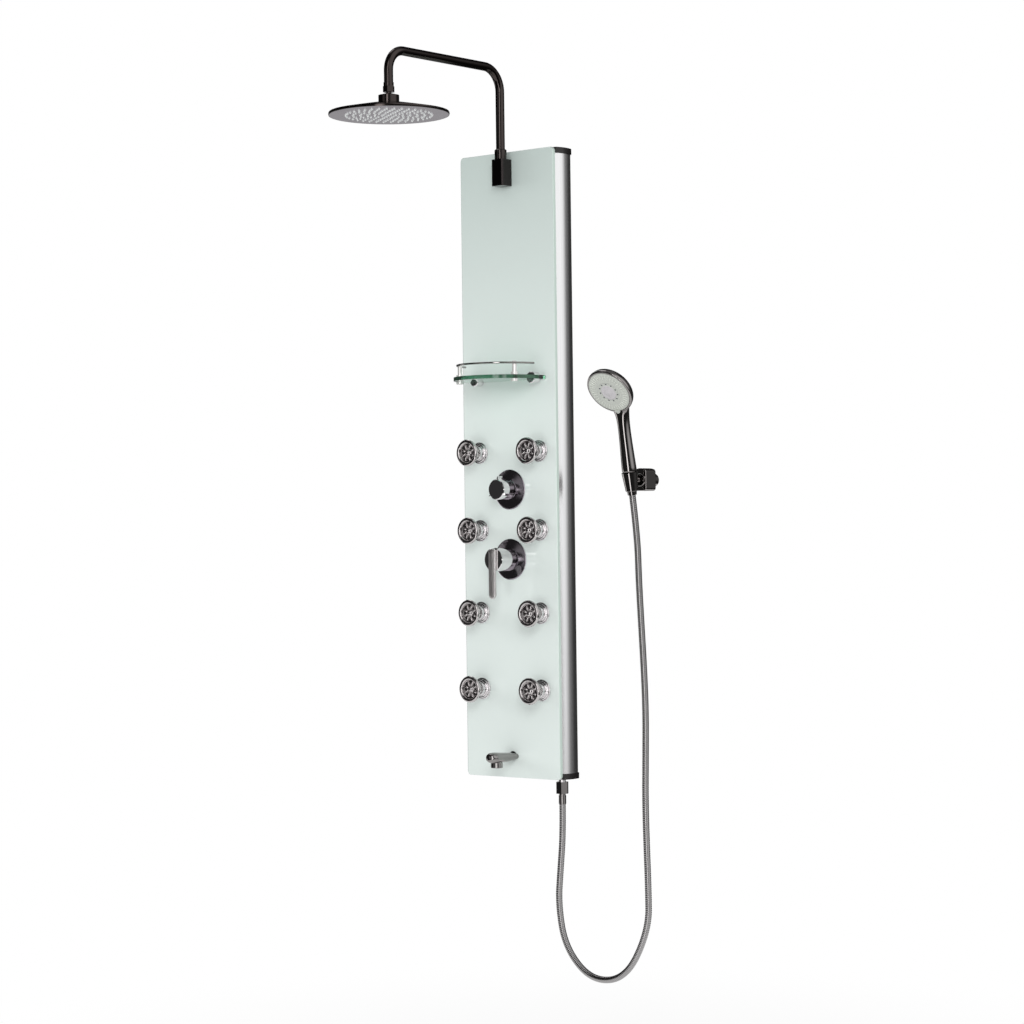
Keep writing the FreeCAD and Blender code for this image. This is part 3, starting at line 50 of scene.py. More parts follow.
cameraView = {
    "aim": (-0.0456, 0.0, -0.1018),
    "distance": 5.9258,
    "turn": 40.34,        # degrees round the panel, from straight in front
    "rise": 0.51,
    "roll": -0.71,
    "lens": 95.29,
}


def makeCamera():
    turn, rise, roll = (math.radians(cameraView[k]) for k in ("turn", "rise", "roll"))
    look = Vector((-math.sin(turn) * math.cos(rise), math.cos(turn) * math.cos(rise), math.sin(rise)))
    right = Vector((math.cos(turn), math.sin(turn), 0))
    up = right.cross(look)
    rightRolled = right * math.cos(roll) + up * math.sin(roll)
    upRolled = up * math.cos(roll) - right * math.sin(roll)
    lens = bpy.data.cameras.new("photoCamera")
    lens.lens = cameraView["lens"]
    lens.sensor_width = 36
    lens.clip_end = 100
    camera = bpy.data.objects.new("photoCamera", lens)
    bpy.context.scene.collection.objects.link(camera)
    place = Vector(cameraView["aim"]) - look * cameraView["distance"]
    turned = Matrix((rightRolled, upRolled, -look)).transposed().to_4x4()
    camera.matrix_world = Matrix.Translation(place) @ turned
    bpy.context.scene.camera = camera


makeCamera()
print("camera ready")


# Small helpers that every piece uses. Places are in metres, and the sizes of profiles in millimetres

glassFront = -0.060        # front of the glass panel, which most pieces stand on
rebuilt = set()            # CAD nodes that a piece of this script stands for


def meshPiece(name, bm, body, material, sharp, stands=None):
    bmesh.ops.recalc_face_normals(bm, faces=bm.faces)
    limit = math.radians(sharp)
    for face in bm.faces:
        face.smooth = True
    for edge in bm.edges:
        if len(edge.link_faces) == 2 and edge.calc_face_angle(0) > limit:
            edge.smooth = False
    mesh = bpy.data.meshes.new(name)
    bm.to_mesh(mesh)
    bm.free()
    piece = bpy.data.objects.new(name, mesh)
    bpy.context.scene.collection.objects.link(piece)
    mesh.materials.append(material)
    if body:
        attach(piece, body)
    if stands:
        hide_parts(stands)
        rebuilt.add(stands)
    return piece


def turnProfile(bm, profile, centre, out, sides=48, side=Vector((1, 0, 0))):
    # a turned shape: (along, radius) points in millimetres, turned about out
    out = Vector(out).normalized()
    side = (Vector(side) - out * out.dot(Vector(side))).normalized()
    other = out.cross(side)
    centre = Vector(centre)
    rings = []
    for along, radius in profile:
        middle = centre + out * along / 1000
        if radius < 1e-4:
            rings.append([bm.verts.new(middle)])
            continue
        rings.append([bm.verts.new(middle + (side * math.cos(a) + other * math.sin(a)) * radius / 1000)
                      for a in (math.tau * k / sides for k in range(sides))])
    for one, two in zip(rings, rings[1:]):
        for k in range(sides):
            a, b = one[k % len(one)], one[(k + 1) % len(one)]
            c, d = two[(k + 1) % len(two)], two[k % len(two)]
            bm.faces.new([v for i, v in enumerate((a, b, c, d)) if v not in (a, b, c, d)[:i]])
    return rings


def joinRings(bm, rings, capped=True):
    # faces between closed rings that have the same count of points
    count = len(rings[0])
    for one, two in zip(rings, rings[1:]):
        for k in range(count):
            bm.faces.new((one[k], one[(k + 1) % count], two[(k + 1) % count], two[k]))
    if capped:
        bm.faces.new(rings[0][::-1])
        bm.faces.new(rings[-1])


def roundEdge(along, radius, size, first, last, steps=6):
    # points of a rounded edge, its middle at (along, radius), from angle first to last
    found = []
    for i in range(steps + 1):
        a = math.radians(first + (last - first) * i / steps)
        found.append((along + size * math.cos(a), radius + size * math.sin(a)))
    return found


def addMound(bm, centre, out, way, length, width, height, count=20, steps=6):
    # a raised rounded petal: half an ellipsoid that lies along way
    out, way = Vector(out).normalized(), Vector(way).normalized()
    across = out.cross(way)
    rows = []
    for i in range(steps):
        lift = math.pi / 2 * i / steps
        spread, high = math.cos(lift), math.sin(lift) * height
        rows.append([bm.verts.new(Vector(centre) + way * math.cos(a) * spread * length
                                  + across * math.sin(a) * spread * width + out * high)
                     for a in (math.tau * k / count for k in range(count))])
    top = bm.verts.new(Vector(centre) + out * height)
    joinRings(bm, rows, capped=False)
    for k in range(count):
        bm.faces.new((rows[-1][k], rows[-1][(k + 1) % count], top))
    bm.faces.new(rows[0][::-1])


def addNode(tree, kind, values=None, wires=None, **settings):
    node = tree.nodes.new(kind)
    for name, value in settings.items():
        setattr(node, name, value)
    for socket, value in (values or {}).items():
        node.inputs[socket].default_value = value
    for socket, source in (wires or {}).items():
        tree.links.new(source, node.inputs[socket])
    return node


def newGroup(name, inputs, outputs):
    group = bpy.data.node_groups.new(name, "ShaderNodeTree")
    for label, kind, value in inputs:
        socket = group.interface.new_socket(label, in_out="INPUT", socket_type=kind)
        socket.default_value = value
    for label, kind in outputs:
        group.interface.new_socket(label, in_out="OUTPUT", socket_type=kind)
    return group, group.nodes.new("NodeGroupInput"), group.nodes.new("NodeGroupOutput")


# Effects that several finishes share

def makeHandMarks():
    # wiped metal and glass: faint cloudy patches in the gloss, and a trace of waviness
    group, given, made = newGroup(
        "handMarks",
        [("Size", "NodeSocketFloat", 9.0), ("Gloss", "NodeSocketFloat", 0.05),
         ("Dulling", "NodeSocketFloat", 0.06)],
        [("Roughness", "NodeSocketFloat"), ("Height", "NodeSocketFloat")])
    place = addNode(group, "ShaderNodeTexCoord")
    cloud = addNode(group, "ShaderNodeTexNoise", {"Detail": 3.0, "Roughness": 0.6},
                    {"Vector": place.outputs["Object"], "Scale": given.outputs["Size"]})
    patch = addNode(group, "ShaderNodeMapRange", {"From Min": 0.42, "From Max": 0.75},
                    {"Value": cloud.outputs["Fac"]})
    dull = addNode(group, "ShaderNodeMath", None,
                   {0: patch.outputs["Result"], 1: given.outputs["Dulling"], 2: given.outputs["Gloss"]},
                   operation="MULTIPLY_ADD")
    group.links.new(dull.outputs[0], made.inputs["Roughness"])
    group.links.new(cloud.outputs["Fac"], made.inputs["Height"])
    return group


def makeBrushLines():
    # fine brushed lines: noise drawn out along one way
    group, given, made = newGroup(
        "brushLines",
        [("Stretch", "NodeSocketVector", (900.0, 900.0, 12.0)), ("Gloss", "NodeSocketFloat", 0.28),
         ("Spread", "NodeSocketFloat", 0.14)],
        [("Roughness", "NodeSocketFloat"), ("Height", "NodeSocketFloat"), ("Shade", "NodeSocketFloat")])
    place = addNode(group, "ShaderNodeTexCoord")
    drawn = addNode(group, "ShaderNodeVectorMath", None,
                    {0: place.outputs["Object"], 1: given.outputs["Stretch"]}, operation="MULTIPLY")
    lines = addNode(group, "ShaderNodeTexNoise", {"Scale": 1.0, "Detail": 4.0, "Roughness": 0.65},
                    {"Vector": drawn.outputs["Vector"]})
    rough = addNode(group, "ShaderNodeMath", None,
                    {0: lines.outputs["Fac"], 1: given.outputs["Spread"], 2: given.outputs["Gloss"]},
                    operation="MULTIPLY_ADD")
    shade = addNode(group, "ShaderNodeMapRange", {"From Min": 0.25, "From Max": 0.75},
                    {"Value": lines.outputs["Fac"]})
    group.links.new(rough.outputs[0], made.inputs["Roughness"])
    group.links.new(lines.outputs["Fac"], made.inputs["Height"])
    group.links.new(shade.outputs["Result"], made.inputs["Shade"])
    return group


def makeMouldSkin():
    # the fine dull skin of moulded plastic and rubber
    group, given, made = newGroup(
        "mouldSkin",
        [("Grain", "NodeSocketFloat", 1400.0), ("Gloss", "NodeSocketFloat", 0.4),
         ("Spread", "NodeSocketFloat", 0.15)],
        [("Roughness", "NodeSocketFloat"), ("Height", "NodeSocketFloat"), ("Shade", "NodeSocketFloat")])
    place = addNode(group, "ShaderNodeTexCoord")
    grain = addNode(group, "ShaderNodeTexNoise", {"Detail": 2.0},
                    {"Vector": place.outputs["Object"], "Scale": given.outputs["Grain"]})
    broad = addNode(group, "ShaderNodeTexNoise", {"Scale": 26.0, "Detail": 3.0},
                    {"Vector": place.outputs["Object"]})
    rough = addNode(group, "ShaderNodeMath", None,
                    {0: broad.outputs["Fac"], 1: given.outputs["Spread"], 2: given.outputs["Gloss"]},
                    operation="MULTIPLY_ADD")
    group.links.new(rough.outputs[0], made.inputs["Roughness"])
    group.links.new(grain.outputs["Fac"], made.inputs["Height"])
    group.links.new(broad.outputs["Fac"], made.inputs["Shade"])
    return group


handMarks = makeHandMarks()
brushLines = makeBrushLines()
mouldSkin = makeMouldSkin()


# Finishes. Each dictionary holds what a user would change

def startFinish(name, fixed):
    material = bpy.data.materials.new(name)
    material.use_nodes = True
    tree = material.node_tree
    tree.nodes.clear()
    shader = addNode(tree, "ShaderNodeBsdfPrincipled", fixed)
    out = addNode(tree, "ShaderNodeOutputMaterial")
    tree.links.new(shader.outputs[0], out.inputs["Surface"])
    return material, tree, shader


def useGroup(tree, group, values):
    node = addNode(tree, "ShaderNodeGroup", node_tree=group)
    for socket, value in values.items():
        node.inputs[socket].default_value = value
    return node


def twoTone(tree, shade, first, second, shader):
    mix = addNode(tree, "ShaderNodeMix", {6: (*first, 1), 7: (*second, 1)}, {0: shade}, data_type="RGBA")
    tree.links.new(mix.outputs[2], shader.inputs["Base Color"])
    return mix


def ramp(tree, value, run):
    # nought to one while the value goes through the run
    rise = addNode(tree, "ShaderNodeMapRange", {"From Min": run[0], "From Max": run[1]}, {"Value": value})
    return rise.outputs["Result"]


def paintOver(tree, under, colour, mask, shader):
    mix = addNode(tree, "ShaderNodeMix", {7: (*colour, 1)}, {0: mask, 6: under.outputs[2]}, data_type="RGBA")
    tree.links.new(mix.outputs[2], shader.inputs["Base Color"])
    return mix


def raiseSkin(tree, shader, height, strength, distance):
    bump = addNode(tree, "ShaderNodeBump", {"Strength": strength, "Distance": distance}, {"Height": height})
    tree.links.new(bump.outputs["Normal"], shader.inputs["Normal"])


platings = {
    # name: lighter tone, darker tone, gloss, dulling, share of metal
    "platedChrome": ((0.80, 0.78, 0.79), (0.72, 0.70, 0.71), 0.035, 0.05, 1.0),
    # painted shade: chrome darkened to near black, for the arm, its nut, the swivel and the rain head's shell
    "shadePaintedChrome": ((0.068, 0.058, 0.055), (0.052, 0.043, 0.041), 0.12, 0.08, 1.0),
    # painted shade: chrome darkened further, so the arm's connector stays dark on every side
    "deepShadePaintedChrome": ((0.058, 0.050, 0.050), (0.042, 0.036, 0.036), 0.10, 0.08, 1.0),
    # painted shade: chrome darkened so the shelf rail reads dark between its highlights
    "railShadePaintedChrome": ((0.40, 0.385, 0.375), (0.32, 0.305, 0.30), 0.06, 0.06, 1.0),
    # painted shade: chrome darkened for the tub spout and its aerator
    "spoutShadePaintedChrome": ((0.30, 0.29, 0.285), (0.25, 0.24, 0.235), 0.05, 0.06, 1.0),
    "rainFaceChrome": ((0.62, 0.58, 0.64), (0.56, 0.52, 0.58), 0.12, 0.08, 1.0),
    # painted shade: chrome darkened for the escutcheons
    "plateShadePaintedChrome": ((0.33, 0.30, 0.335), (0.28, 0.255, 0.285), 0.13, 0.07, 1.0),
    # painted shade: chrome darkened for the hand shower, its bracket and the hose's nuts
    "handsetShadePaintedChrome": ((0.31, 0.295, 0.29), (0.26, 0.245, 0.24), 0.06, 0.06, 1.0),
    # painted shade: the jets' plated plastic, darkened below the plain chrome
    "platedPlasticShade": ((0.58, 0.555, 0.555), (0.50, 0.475, 0.475), 0.05, 0.06, 1.0),
    # painted reflection: a pale half-metal finish that keeps the shelf posts white as if mirroring bright
    # light
    "postPaintedSheen": ((0.93, 0.915, 0.90), (0.84, 0.825, 0.81), 0.12, 0.10, 0.45),
}


def makePlating(name):
    light, dark, gloss, dulling, metal = platings[name]
    material, tree, shader = startFinish(name, {"Metallic": metal})
    marks = useGroup(tree, handMarks, {"Size": 11.0, "Gloss": gloss, "Dulling": dulling})
    twoTone(tree, marks.outputs["Height"], light, dark, shader)
    tree.links.new(marks.outputs["Roughness"], shader.inputs["Roughness"])
    raiseSkin(tree, shader, marks.outputs["Height"], strength=0.04, distance=0.002)
    return material


brushings = {
    # name: lighter tone, darker tone, stretch of the lines, gloss, spread, depth of the lines, share of metal
    "brushedAluminium": ((0.96, 0.96, 0.965), (0.86, 0.86, 0.87), (1300, 1300, 5), 0.16, 0.10, 0.05, 1.0),
    "satinChrome": ((0.74, 0.72, 0.71), (0.64, 0.62, 0.61), (1600, 1600, 9), 0.40, 0.10, 0.05, 0.96),
    "hiddenSteel": ((0.60, 0.60, 0.60), (0.42, 0.42, 0.42), (500, 60, 60), 0.34, 0.20, 0.20, 1.0),
    "turnedBrass": ((0.80, 0.62, 0.32), (0.66, 0.48, 0.22), (90, 90, 900), 0.28, 0.16, 0.14, 1.0),
}


def makeBrushing(name):
    light, dark, stretch, gloss, spread, depth, metal = brushings[name]
    material, tree, shader = startFinish(name, {"Metallic": metal})
    lines = useGroup(tree, brushLines, {"Stretch": stretch, "Gloss": gloss, "Spread": spread})
    twoTone(tree, lines.outputs["Shade"], light, dark, shader)
    tree.links.new(lines.outputs["Roughness"], shader.inputs["Roughness"])
    raiseSkin(tree, shader, lines.outputs["Height"], strength=depth, distance=0.0004)
    return material


mouldings = {
    # name: lighter tone, darker tone, gloss, spread, depth of the skin
    # partly painted light: pale rubber, lifted paler still to stand in for the light that the downward face
    # misses
    "nozzleRubber": ((0.93, 0.96, 0.95), (0.86, 0.89, 0.88), 0.42, 0.16, 0.10),
    "sprayFaceGrey": ((0.56, 0.585, 0.54), (0.50, 0.53, 0.485), 0.22, 0.12, 0.05),
    "sprayRibPale": ((0.72, 0.75, 0.69), (0.66, 0.69, 0.63), 0.26, 0.12, 0.05),
    "ballSeatWhite": ((0.74, 0.74, 0.72), (0.66, 0.66, 0.64), 0.40, 0.14, 0.08),
    "sprayCentreLilac": ((0.60, 0.585, 0.60), (0.55, 0.535, 0.555), 0.24, 0.12, 0.05),
    "sprayHoleDark": ((0.10, 0.10, 0.12), (0.06, 0.06, 0.08), 0.40, 0.15, 0.05),
    "capPlastic": ((0.020, 0.018, 0.018), (0.012, 0.011, 0.011), 0.16, 0.12, 0.05),
}


def makeMoulding(name):
    light, dark, gloss, spread, depth = mouldings[name]
    material, tree, shader = startFinish(name, {"IOR": 1.47})
    skin = useGroup(tree, mouldSkin, {"Gloss": gloss, "Spread": spread})
    twoTone(tree, skin.outputs["Shade"], light, dark, shader)
    tree.links.new(skin.outputs["Roughness"], shader.inputs["Roughness"])
    raiseSkin(tree, shader, skin.outputs["Height"], strength=depth, distance=0.0003)
    return material


panelGlass = {
    "top": (0.575, 0.66, 0.63),        # painted shade: the back paint seen through the green glass, darkened towards the top
    "foot": (0.80, 0.88, 0.85),
    "paintedShadeRun": (0.13, 0.675),          # heights above the middle over which the painted shade goes from the foot's tone to the top's
    "cloudiness": 0.12,                # how far faint clouds shift the tone
    "edge": (0.70, 0.84, 0.77),        # the polished edge, where the glass is seen end on
    "edgeRun": (0.1296, 0.1306),       # from the panel's middle
    # painted reflection: a dark line along the left edge, where the chamfer shows dark
    "leftEdgeReflection": (0.50, 0.58, 0.55),
    "leftEdgeReflectionRun": (-0.1284, -0.1290),
    "gloss": 0.03,
    "dulling": 0.05,
}


def makePanelGlass():
    material, tree, shader = startFinish("paintedGreenGlass", {"IOR": 1.52, "Coat Weight": 0.35,
                                                               "Coat Roughness": 0.02})
    place = addNode(tree, "ShaderNodeTexCoord")
    apart = addNode(tree, "ShaderNodeSeparateXYZ", None, {0: place.outputs["Object"]})
    # painted shade: the tone darkens from the panel's foot to its top
    lift = ramp(tree, apart.outputs["Z"], panelGlass["paintedShadeRun"])
    marks = useGroup(tree, handMarks, {"Size": 4.0, "Gloss": panelGlass["gloss"],
                                       "Dulling": panelGlass["dulling"]})
    cloudiness = panelGlass["cloudiness"]
    blend = addNode(tree, "ShaderNodeMath", {1: cloudiness, 2: -cloudiness / 2},
                    {0: marks.outputs["Height"]}, operation="MULTIPLY_ADD")
    shade = addNode(tree, "ShaderNodeMath", None, {0: lift, 1: blend.outputs[0]},
                    operation="ADD", use_clamp=True)
    face = twoTone(tree, shade.outputs[0], panelGlass["foot"], panelGlass["top"], shader)
    side = addNode(tree, "ShaderNodeMath", None, {0: apart.outputs["X"]}, operation="ABSOLUTE")
    edged = paintOver(tree, face, panelGlass["edge"],
                      ramp(tree, side.outputs[0], panelGlass["edgeRun"]), shader)
    # painted reflection: the dark line along the panel's left edge
    paintOver(tree, edged, panelGlass["leftEdgeReflection"],
              ramp(tree, apart.outputs["X"], panelGlass["leftEdgeReflectionRun"]), shader)
    tree.links.new(marks.outputs["Roughness"], shader.inputs["Roughness"])
    return material


shelfGlass = {
    "tint": (0.62, 0.86, 0.75),
    "edge": (0.20, 0.47, 0.32),        # the rim, seen end on through the glass's own colour
    "edgeRun": (0.8, 0.5),             # share of the surface that faces up or down
    "rightEndShade": (0.03, 0.09, 0.05),    # painted shade: the rim's right end, near black
    "rightEndShadeRun": (0.45, 0.85),       # share of the surface that faces right, where the painted shade lies
    "gloss": 0.02,
    "dulling": 0.05,
}


def makeShelfGlass():
    material, tree, shader = startFinish("clearShelfGlass", {"Transmission Weight": 0.86, "IOR": 1.5})
    marks = useGroup(tree, handMarks, {"Size": 12.0, "Gloss": shelfGlass["gloss"],
                                       "Dulling": shelfGlass["dulling"]})
    shape = addNode(tree, "ShaderNodeNewGeometry")
    apart = addNode(tree, "ShaderNodeSeparateXYZ", None, {0: shape.outputs["True Normal"]})
    flat = addNode(tree, "ShaderNodeMath", None, {0: apart.outputs["Z"]}, operation="ABSOLUTE")
    edged = twoTone(tree, ramp(tree, flat.outputs[0], shelfGlass["edgeRun"]),
                    shelfGlass["tint"], shelfGlass["edge"], shader)
    # painted shade on the rim where it faces right
    paintOver(tree, edged, shelfGlass["rightEndShade"],
              ramp(tree, apart.outputs["X"], shelfGlass["rightEndShadeRun"]), shader)
    tree.links.new(marks.outputs["Roughness"], shader.inputs["Roughness"])
    return material


hoseMetal = {
    # painted shade: near black in the grooves, and the ridges' chrome darkened
    "ridge": (0.39, 0.38, 0.38),
    "groove": (0.03, 0.03, 0.03),
    "ridgeRun": (0.47, 0.52),          # pointiness, from the painted shade in the grooves to the ridges
    "gloss": 0.10,
    "dulling": 0.08,
}


def makeHoseMetal():
    material, tree, shader = startFinish("ribbedHoseMetal", {"Metallic": 1.0})
    marks = useGroup(tree, handMarks, {"Size": 60.0, "Gloss": hoseMetal["gloss"],
                                       "Dulling": hoseMetal["dulling"]})
    shape = addNode(tree, "ShaderNodeNewGeometry")
    # painted shade: near black in the grooves, picked out by pointiness
    crest = ramp(tree, shape.outputs["Pointiness"], hoseMetal["ridgeRun"])
    twoTone(tree, crest, hoseMetal["groove"], hoseMetal["ridge"], shader)
    tree.links.new(marks.outputs["Roughness"], shader.inputs["Roughness"])
    return material


finish = {name: makePlating(name) for name in platings}
finish.update({name: makeBrushing(name) for name in brushings})
finish.update({name: makeMoulding(name) for name in mouldings})
finish["panelGlass"] = makePanelGlass()
finish["shelfGlass"] = makeShelfGlass()
finish["hoseMetal"] = makeHoseMetal()
print("finishes ready:", len(finish))


# Shower hose: a ribbed metal hose that hangs from the outlet to the hand shower

hose = {
    "thickness": 0.014,
    "ribPitch": 0.0038,
    "ribDepth": 0.0006,
    "ribShape": (1.0, 0.25, 0.0, 0.0, 0.25),     # groove, then the flat wound strip
    "sides": 20,
    "length": 1.512,
    "bendsFrom": (0.3445, -0.044, -0.70),        # below this place it stays with the panel
    "bendsTo": (0.3445, -0.0735, -0.10),         # above this one it follows the hand shower
    "route": (
        (0.105, -0.022, -0.729), (0.105, -0.022, -0.795), (0.103, -0.029, -0.868),
        (0.101, -0.0355, -0.943), (0.123, -0.040, -1.034), (0.197, -0.0435, -1.097),
        (0.291, -0.0445, -1.082), (0.351, -0.0445, -0.975), (0.3505, -0.044, -0.887),
        (0.347, -0.0435, -0.795), (0.3445, -0.0425, -0.704), (0.3455, -0.041, -0.615),
        (0.3465, -0.040, -0.523), (0.344, -0.041, -0.433), (0.3415, -0.0445, -0.344),
        (0.341, -0.0505, -0.252), (0.3445, -0.058138, -0.158242), (0.3445, -0.0735, -0.072)),
}


def routeLine(name, points):
    # the smooth line through a route, read back from its NURBS spline
    curve = bpy.data.curves.new(name, "CURVE")
    curve.dimensions = "3D"
    spline = curve.splines.new("NURBS")
    spline.points.add(len(points) - 1)
    for point, place in zip(spline.points, points):
        point.co = (*place, 1)
    spline.order_u = 3
    spline.use_endpoint_u = True
    spline.resolution_u = 24
    holder = bpy.data.objects.new(name, curve)
    bpy.context.scene.collection.objects.link(holder)
    bpy.context.view_layer.update()
    line = bpy.data.meshes.new_from_object(holder)
    places = [v.co.copy() for v in line.vertices]
    bpy.data.objects.remove(holder)
    bpy.data.meshes.remove(line)
    return places


def walkLine(places, step):
    # evenly spaced points on a line, with the direction at each
    run = [0.0]
    for a, b in zip(places, places[1:]):
        run.append(run[-1] + (b - a).length)
    count = max(2, round(run[-1] / step))
    found, piece = [], 0
    for i in range(count + 1):
        want = run[-1] * i / count
        while piece < len(places) - 2 and run[piece + 1] < want:
            piece += 1
        share = (want - run[piece]) / max(run[piece + 1] - run[piece], 1e-9)
        found.append(places[piece].lerp(places[piece + 1], min(1, share)))
    ways = []
    for i in range(len(found)):
        ways.append((found[min(i + 1, len(found) - 1)] - found[max(i - 1, 0)]).normalized())
    return found, ways, run[-1]


def sweepRings(bm, places, ways, radii, sides):
    side = ways[0].orthogonal().normalized()
    rings = []
    for place, way, radius in zip(places, ways, radii):
        side = (side - way * side.dot(way)).normalized()
        other = way.cross(side)
        rings.append([bm.verts.new(place + (side * math.cos(a) + other * math.sin(a)) * radius)
                      for a in (math.tau * k / sides for k in range(sides))])
    joinRings(bm, rings)


def makeHose():
    line = routeLine("hoseRoute", [Vector(p) for p in hose["route"]])
    depths = hose["ribShape"]
    places, ways, length = walkLine(line, hose["ribPitch"] / len(depths))
    outer = hose["thickness"] / 2
    radii = [outer - hose["ribDepth"] * depths[i % len(depths)] for i in range(len(places))]
    bm = bmesh.new()
    sweepRings(bm, places, ways, radii, hose["sides"])
    piece = meshPiece("ribbedHose", bm, None, finish["hoseMetal"], 75, "shower_hose")
    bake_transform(piece)
    print("hose line", round(length, 4), "m, ribs", len(places) // len(depths))


makeHose()


# Body jets: a stepped foot on the glass, and a head with a fat rim and raised petals

jet = {
    "columns": (-0.084, 0.084),
    "rows": (0.027, -0.142, -0.320, -0.485),
    "rimRadius": 24.5,         # middle of the fat rim, in millimetres
    "rimThickness": 4.5,
    "petals": 8,
    "petalAt": 13.2,
    "petalFoot": 40.0,
    "petalSize": (6.6, 2.7, 3.6),      # half length, half width, height
}


def jetPlaces():
    return [Vector((x, glassFront, z)) for z in jet["rows"] for x in jet["columns"]]


def makeJetFeet():
    # one profile, from the shank behind the glass over three rolled steps to the mouth of the ball's socket
    bm = bmesh.new()
    foot = [(-19, 0), (-19, 10.2), (-18.2, 11), (0, 11), (0, 22.6)]
    foot += roundEdge(1.7, 21.9, 1.6, 135, 0)
    foot += [(3.4, 20.9)] + roundEdge(4.9, 19.2, 1.4, 110, 0)
    foot += [(6.3, 18.0), (6.3, 17.4)] + roundEdge(7.6, 16.2, 1.3, 100, 10)
    foot += [(9.0, 15.6), (14.6, 15.4)] + roundEdge(14.9, 14.3, 1.1, 90, 0, 4)
    foot += [(16.0, 12.6), (15.2, 11.6), (12.0, 11.2), (12.0, 9.6)]
    foot += [(8.0, 9.4), (8.0, 0)]
    for place in jetPlaces():
        turnProfile(bm, foot, place, (0, -1, 0))
    meshPiece("jetFeet", bm, "panel", finish["platedChrome"], 50, "jet_bases")


def makeJetHead(number, place):
    out = Vector((0, -1, 0))
    thick, middle = jet["rimThickness"], jet["rimRadius"]
    bm = bmesh.new()
    # from the ball in its seat, along the neck and the bell's outside, over the rim and down into its dish
    bell = [(1.2, 0), (1.6, 3.0), (4.0, 6.6), (8.0, 8.7), (12.0, 8.7), (16.2, 6.6), (18.0, 5.5), (21.5, 5.5)]
    bell += [(23.2, 7.2), (25.2, 12.0), (28.2, 17.8), (31.6, 22.2), (35.4, 25.4), (37.6, 26.6)]
    bell += roundEdge(42.5, middle, thick, 148, -112, 16)
    bell += [(40.4, 19.4), (40.2, 8.6), (41.4, 6.6), (43.6, 5.6), (45.0, 3.6), (45.5, 0)]
    turnProfile(bm, bell, place, out)
    length, width, height = (v / 1000 for v in jet["petalSize"])
    for i in range(jet["petals"]):
        a = math.tau * (i + 0.5) / jet["petals"]
        way = Vector((math.cos(a), 0, math.sin(a)))
        centre = place + out * jet["petalFoot"] / 1000 + way * jet["petalAt"] / 1000
        addMound(bm, centre, out, way, length, width, height)
    meshPiece("jetHead%d" % number, bm, "jet_%d" % number, finish["platedPlasticShade"],
              50, "jet_head_%d" % number)


makeJetFeet()
for number, place in enumerate(jetPlaces(), 1):
    makeJetHead(number, place)
print("body jets ready")


# Tub spout: a flattened body with a round nose, wider than it is high

spout = {
    "halfWidth": 16.0,
    "nose": 81.0,              # from the glass
    "noseRound": 17.0,
    "bluntness": (0.9, 0.55),  # the nose's roundness from above and from the side: less is blunter
    "topBack": 6.5, "topFront": 11.5,
    "underBack": -8.5, "underFront": -12.0,
    "underSlope": 2.2,         # how many times sooner than the top the underside gets to its front height
    "height": -0.628,
    "squareness": 2.15,        # of the section: two is an ellipse
    "points": 36,
    "tail": (10.0, 40.0),      # radius, length behind the glass's front
}


def spoutRows():
    # (from the glass, half width, top, underside) along the straight run and round the nose
    rows = []
    straight = spout["nose"] - spout["noseRound"]
    for i in range(15):
        out = straight * i / 14
        share = out / straight
        sooner = min(1, share * spout["underSlope"])
        top = spout["topBack"] + (spout["topFront"] - spout["topBack"]) * share
        under = spout["underBack"] + (spout["underFront"] - spout["underBack"]) * sooner
        rows.append((out, spout["halfWidth"], top, under))
    top, under = spout["topFront"], spout["underFront"]
    middle, half = (top + under) / 2, (top - under) / 2
    above, beside = spout["bluntness"]
    for i in range(1, 11):
        a = math.pi / 2 * i / 10.4         # the last row stays a small oval, which is capped
        squeeze = math.cos(a) ** beside
        rows.append((straight + spout["noseRound"] * math.sin(a), spout["halfWidth"] * math.cos(a) ** above,
                     middle + half * squeeze, middle - half * squeeze))
    return rows


def makeSpout():
    bm = bmesh.new()
    rings = []
    power = 2 / spout["squareness"]
    for out, half, top, under in spoutRows():
        middle, high = (top + under) / 2, (top - under) / 2
        ring = []
        for k in range(spout["points"]):
            a = math.tau * k / spout["points"]
            c, d = math.cos(a), math.sin(a)
            x = half * math.copysign(abs(c) ** power, c)
            z = middle + high * math.copysign(abs(d) ** power, d)
            ring.append(bm.verts.new((x / 1000, glassFront - out / 1000, spout["height"] + z / 1000)))
        rings.append(ring)
    joinRings(bm, rings)
    radius, length = spout["tail"]
    turnProfile(bm, [(0, 0), (0, radius), (length, radius), (length, 0)],
                (0, glassFront, spout["height"]), (0, 1, 0), 32)
    meshPiece("tubSpout", bm, "panel", finish["spoutShadePaintedChrome"], 60, "tub_spout")


makeSpout()
print("tub spout ready")


# Mixer lever: a flat bar with soft edges, hinged in the hub

lever = {
    "halfWidth": 9.25,
    "top": 23.2, "tip": -84.0,       # above and below the hub's axis
    "topRound": 4.0,
    "back": 58.3, "front": 64.2,     # from the glass
    "softness": 2.4,
    "crown": 1.2,                    # how far the front bulges
    "crownRun": 0.93,                # share of the half width over which it does
    "pivot": (53.0, 16.5, 3.6),      # from the glass, above the hub's axis, radius
    "barrel": 16.0,                  # length of the barrel on the hinge's pin
    "neck": 6.5,                     # from the barrel out to the bar
    "height": -0.2045,
}


def leverOutline(inset):
    half = lever["halfWidth"] - inset
    top, tip, rise = lever["top"] - inset, lever["tip"] + inset, lever["topRound"]
    points = []
    for i in range(17):
        a = math.pi * i / 16
        points.append((half * math.cos(a), top - rise + rise * math.sin(a)))
    for i in range(17):
        a = math.pi + math.pi * i / 16
        points.append((half * math.cos(a), tip + half + half * math.sin(a)))
    return points


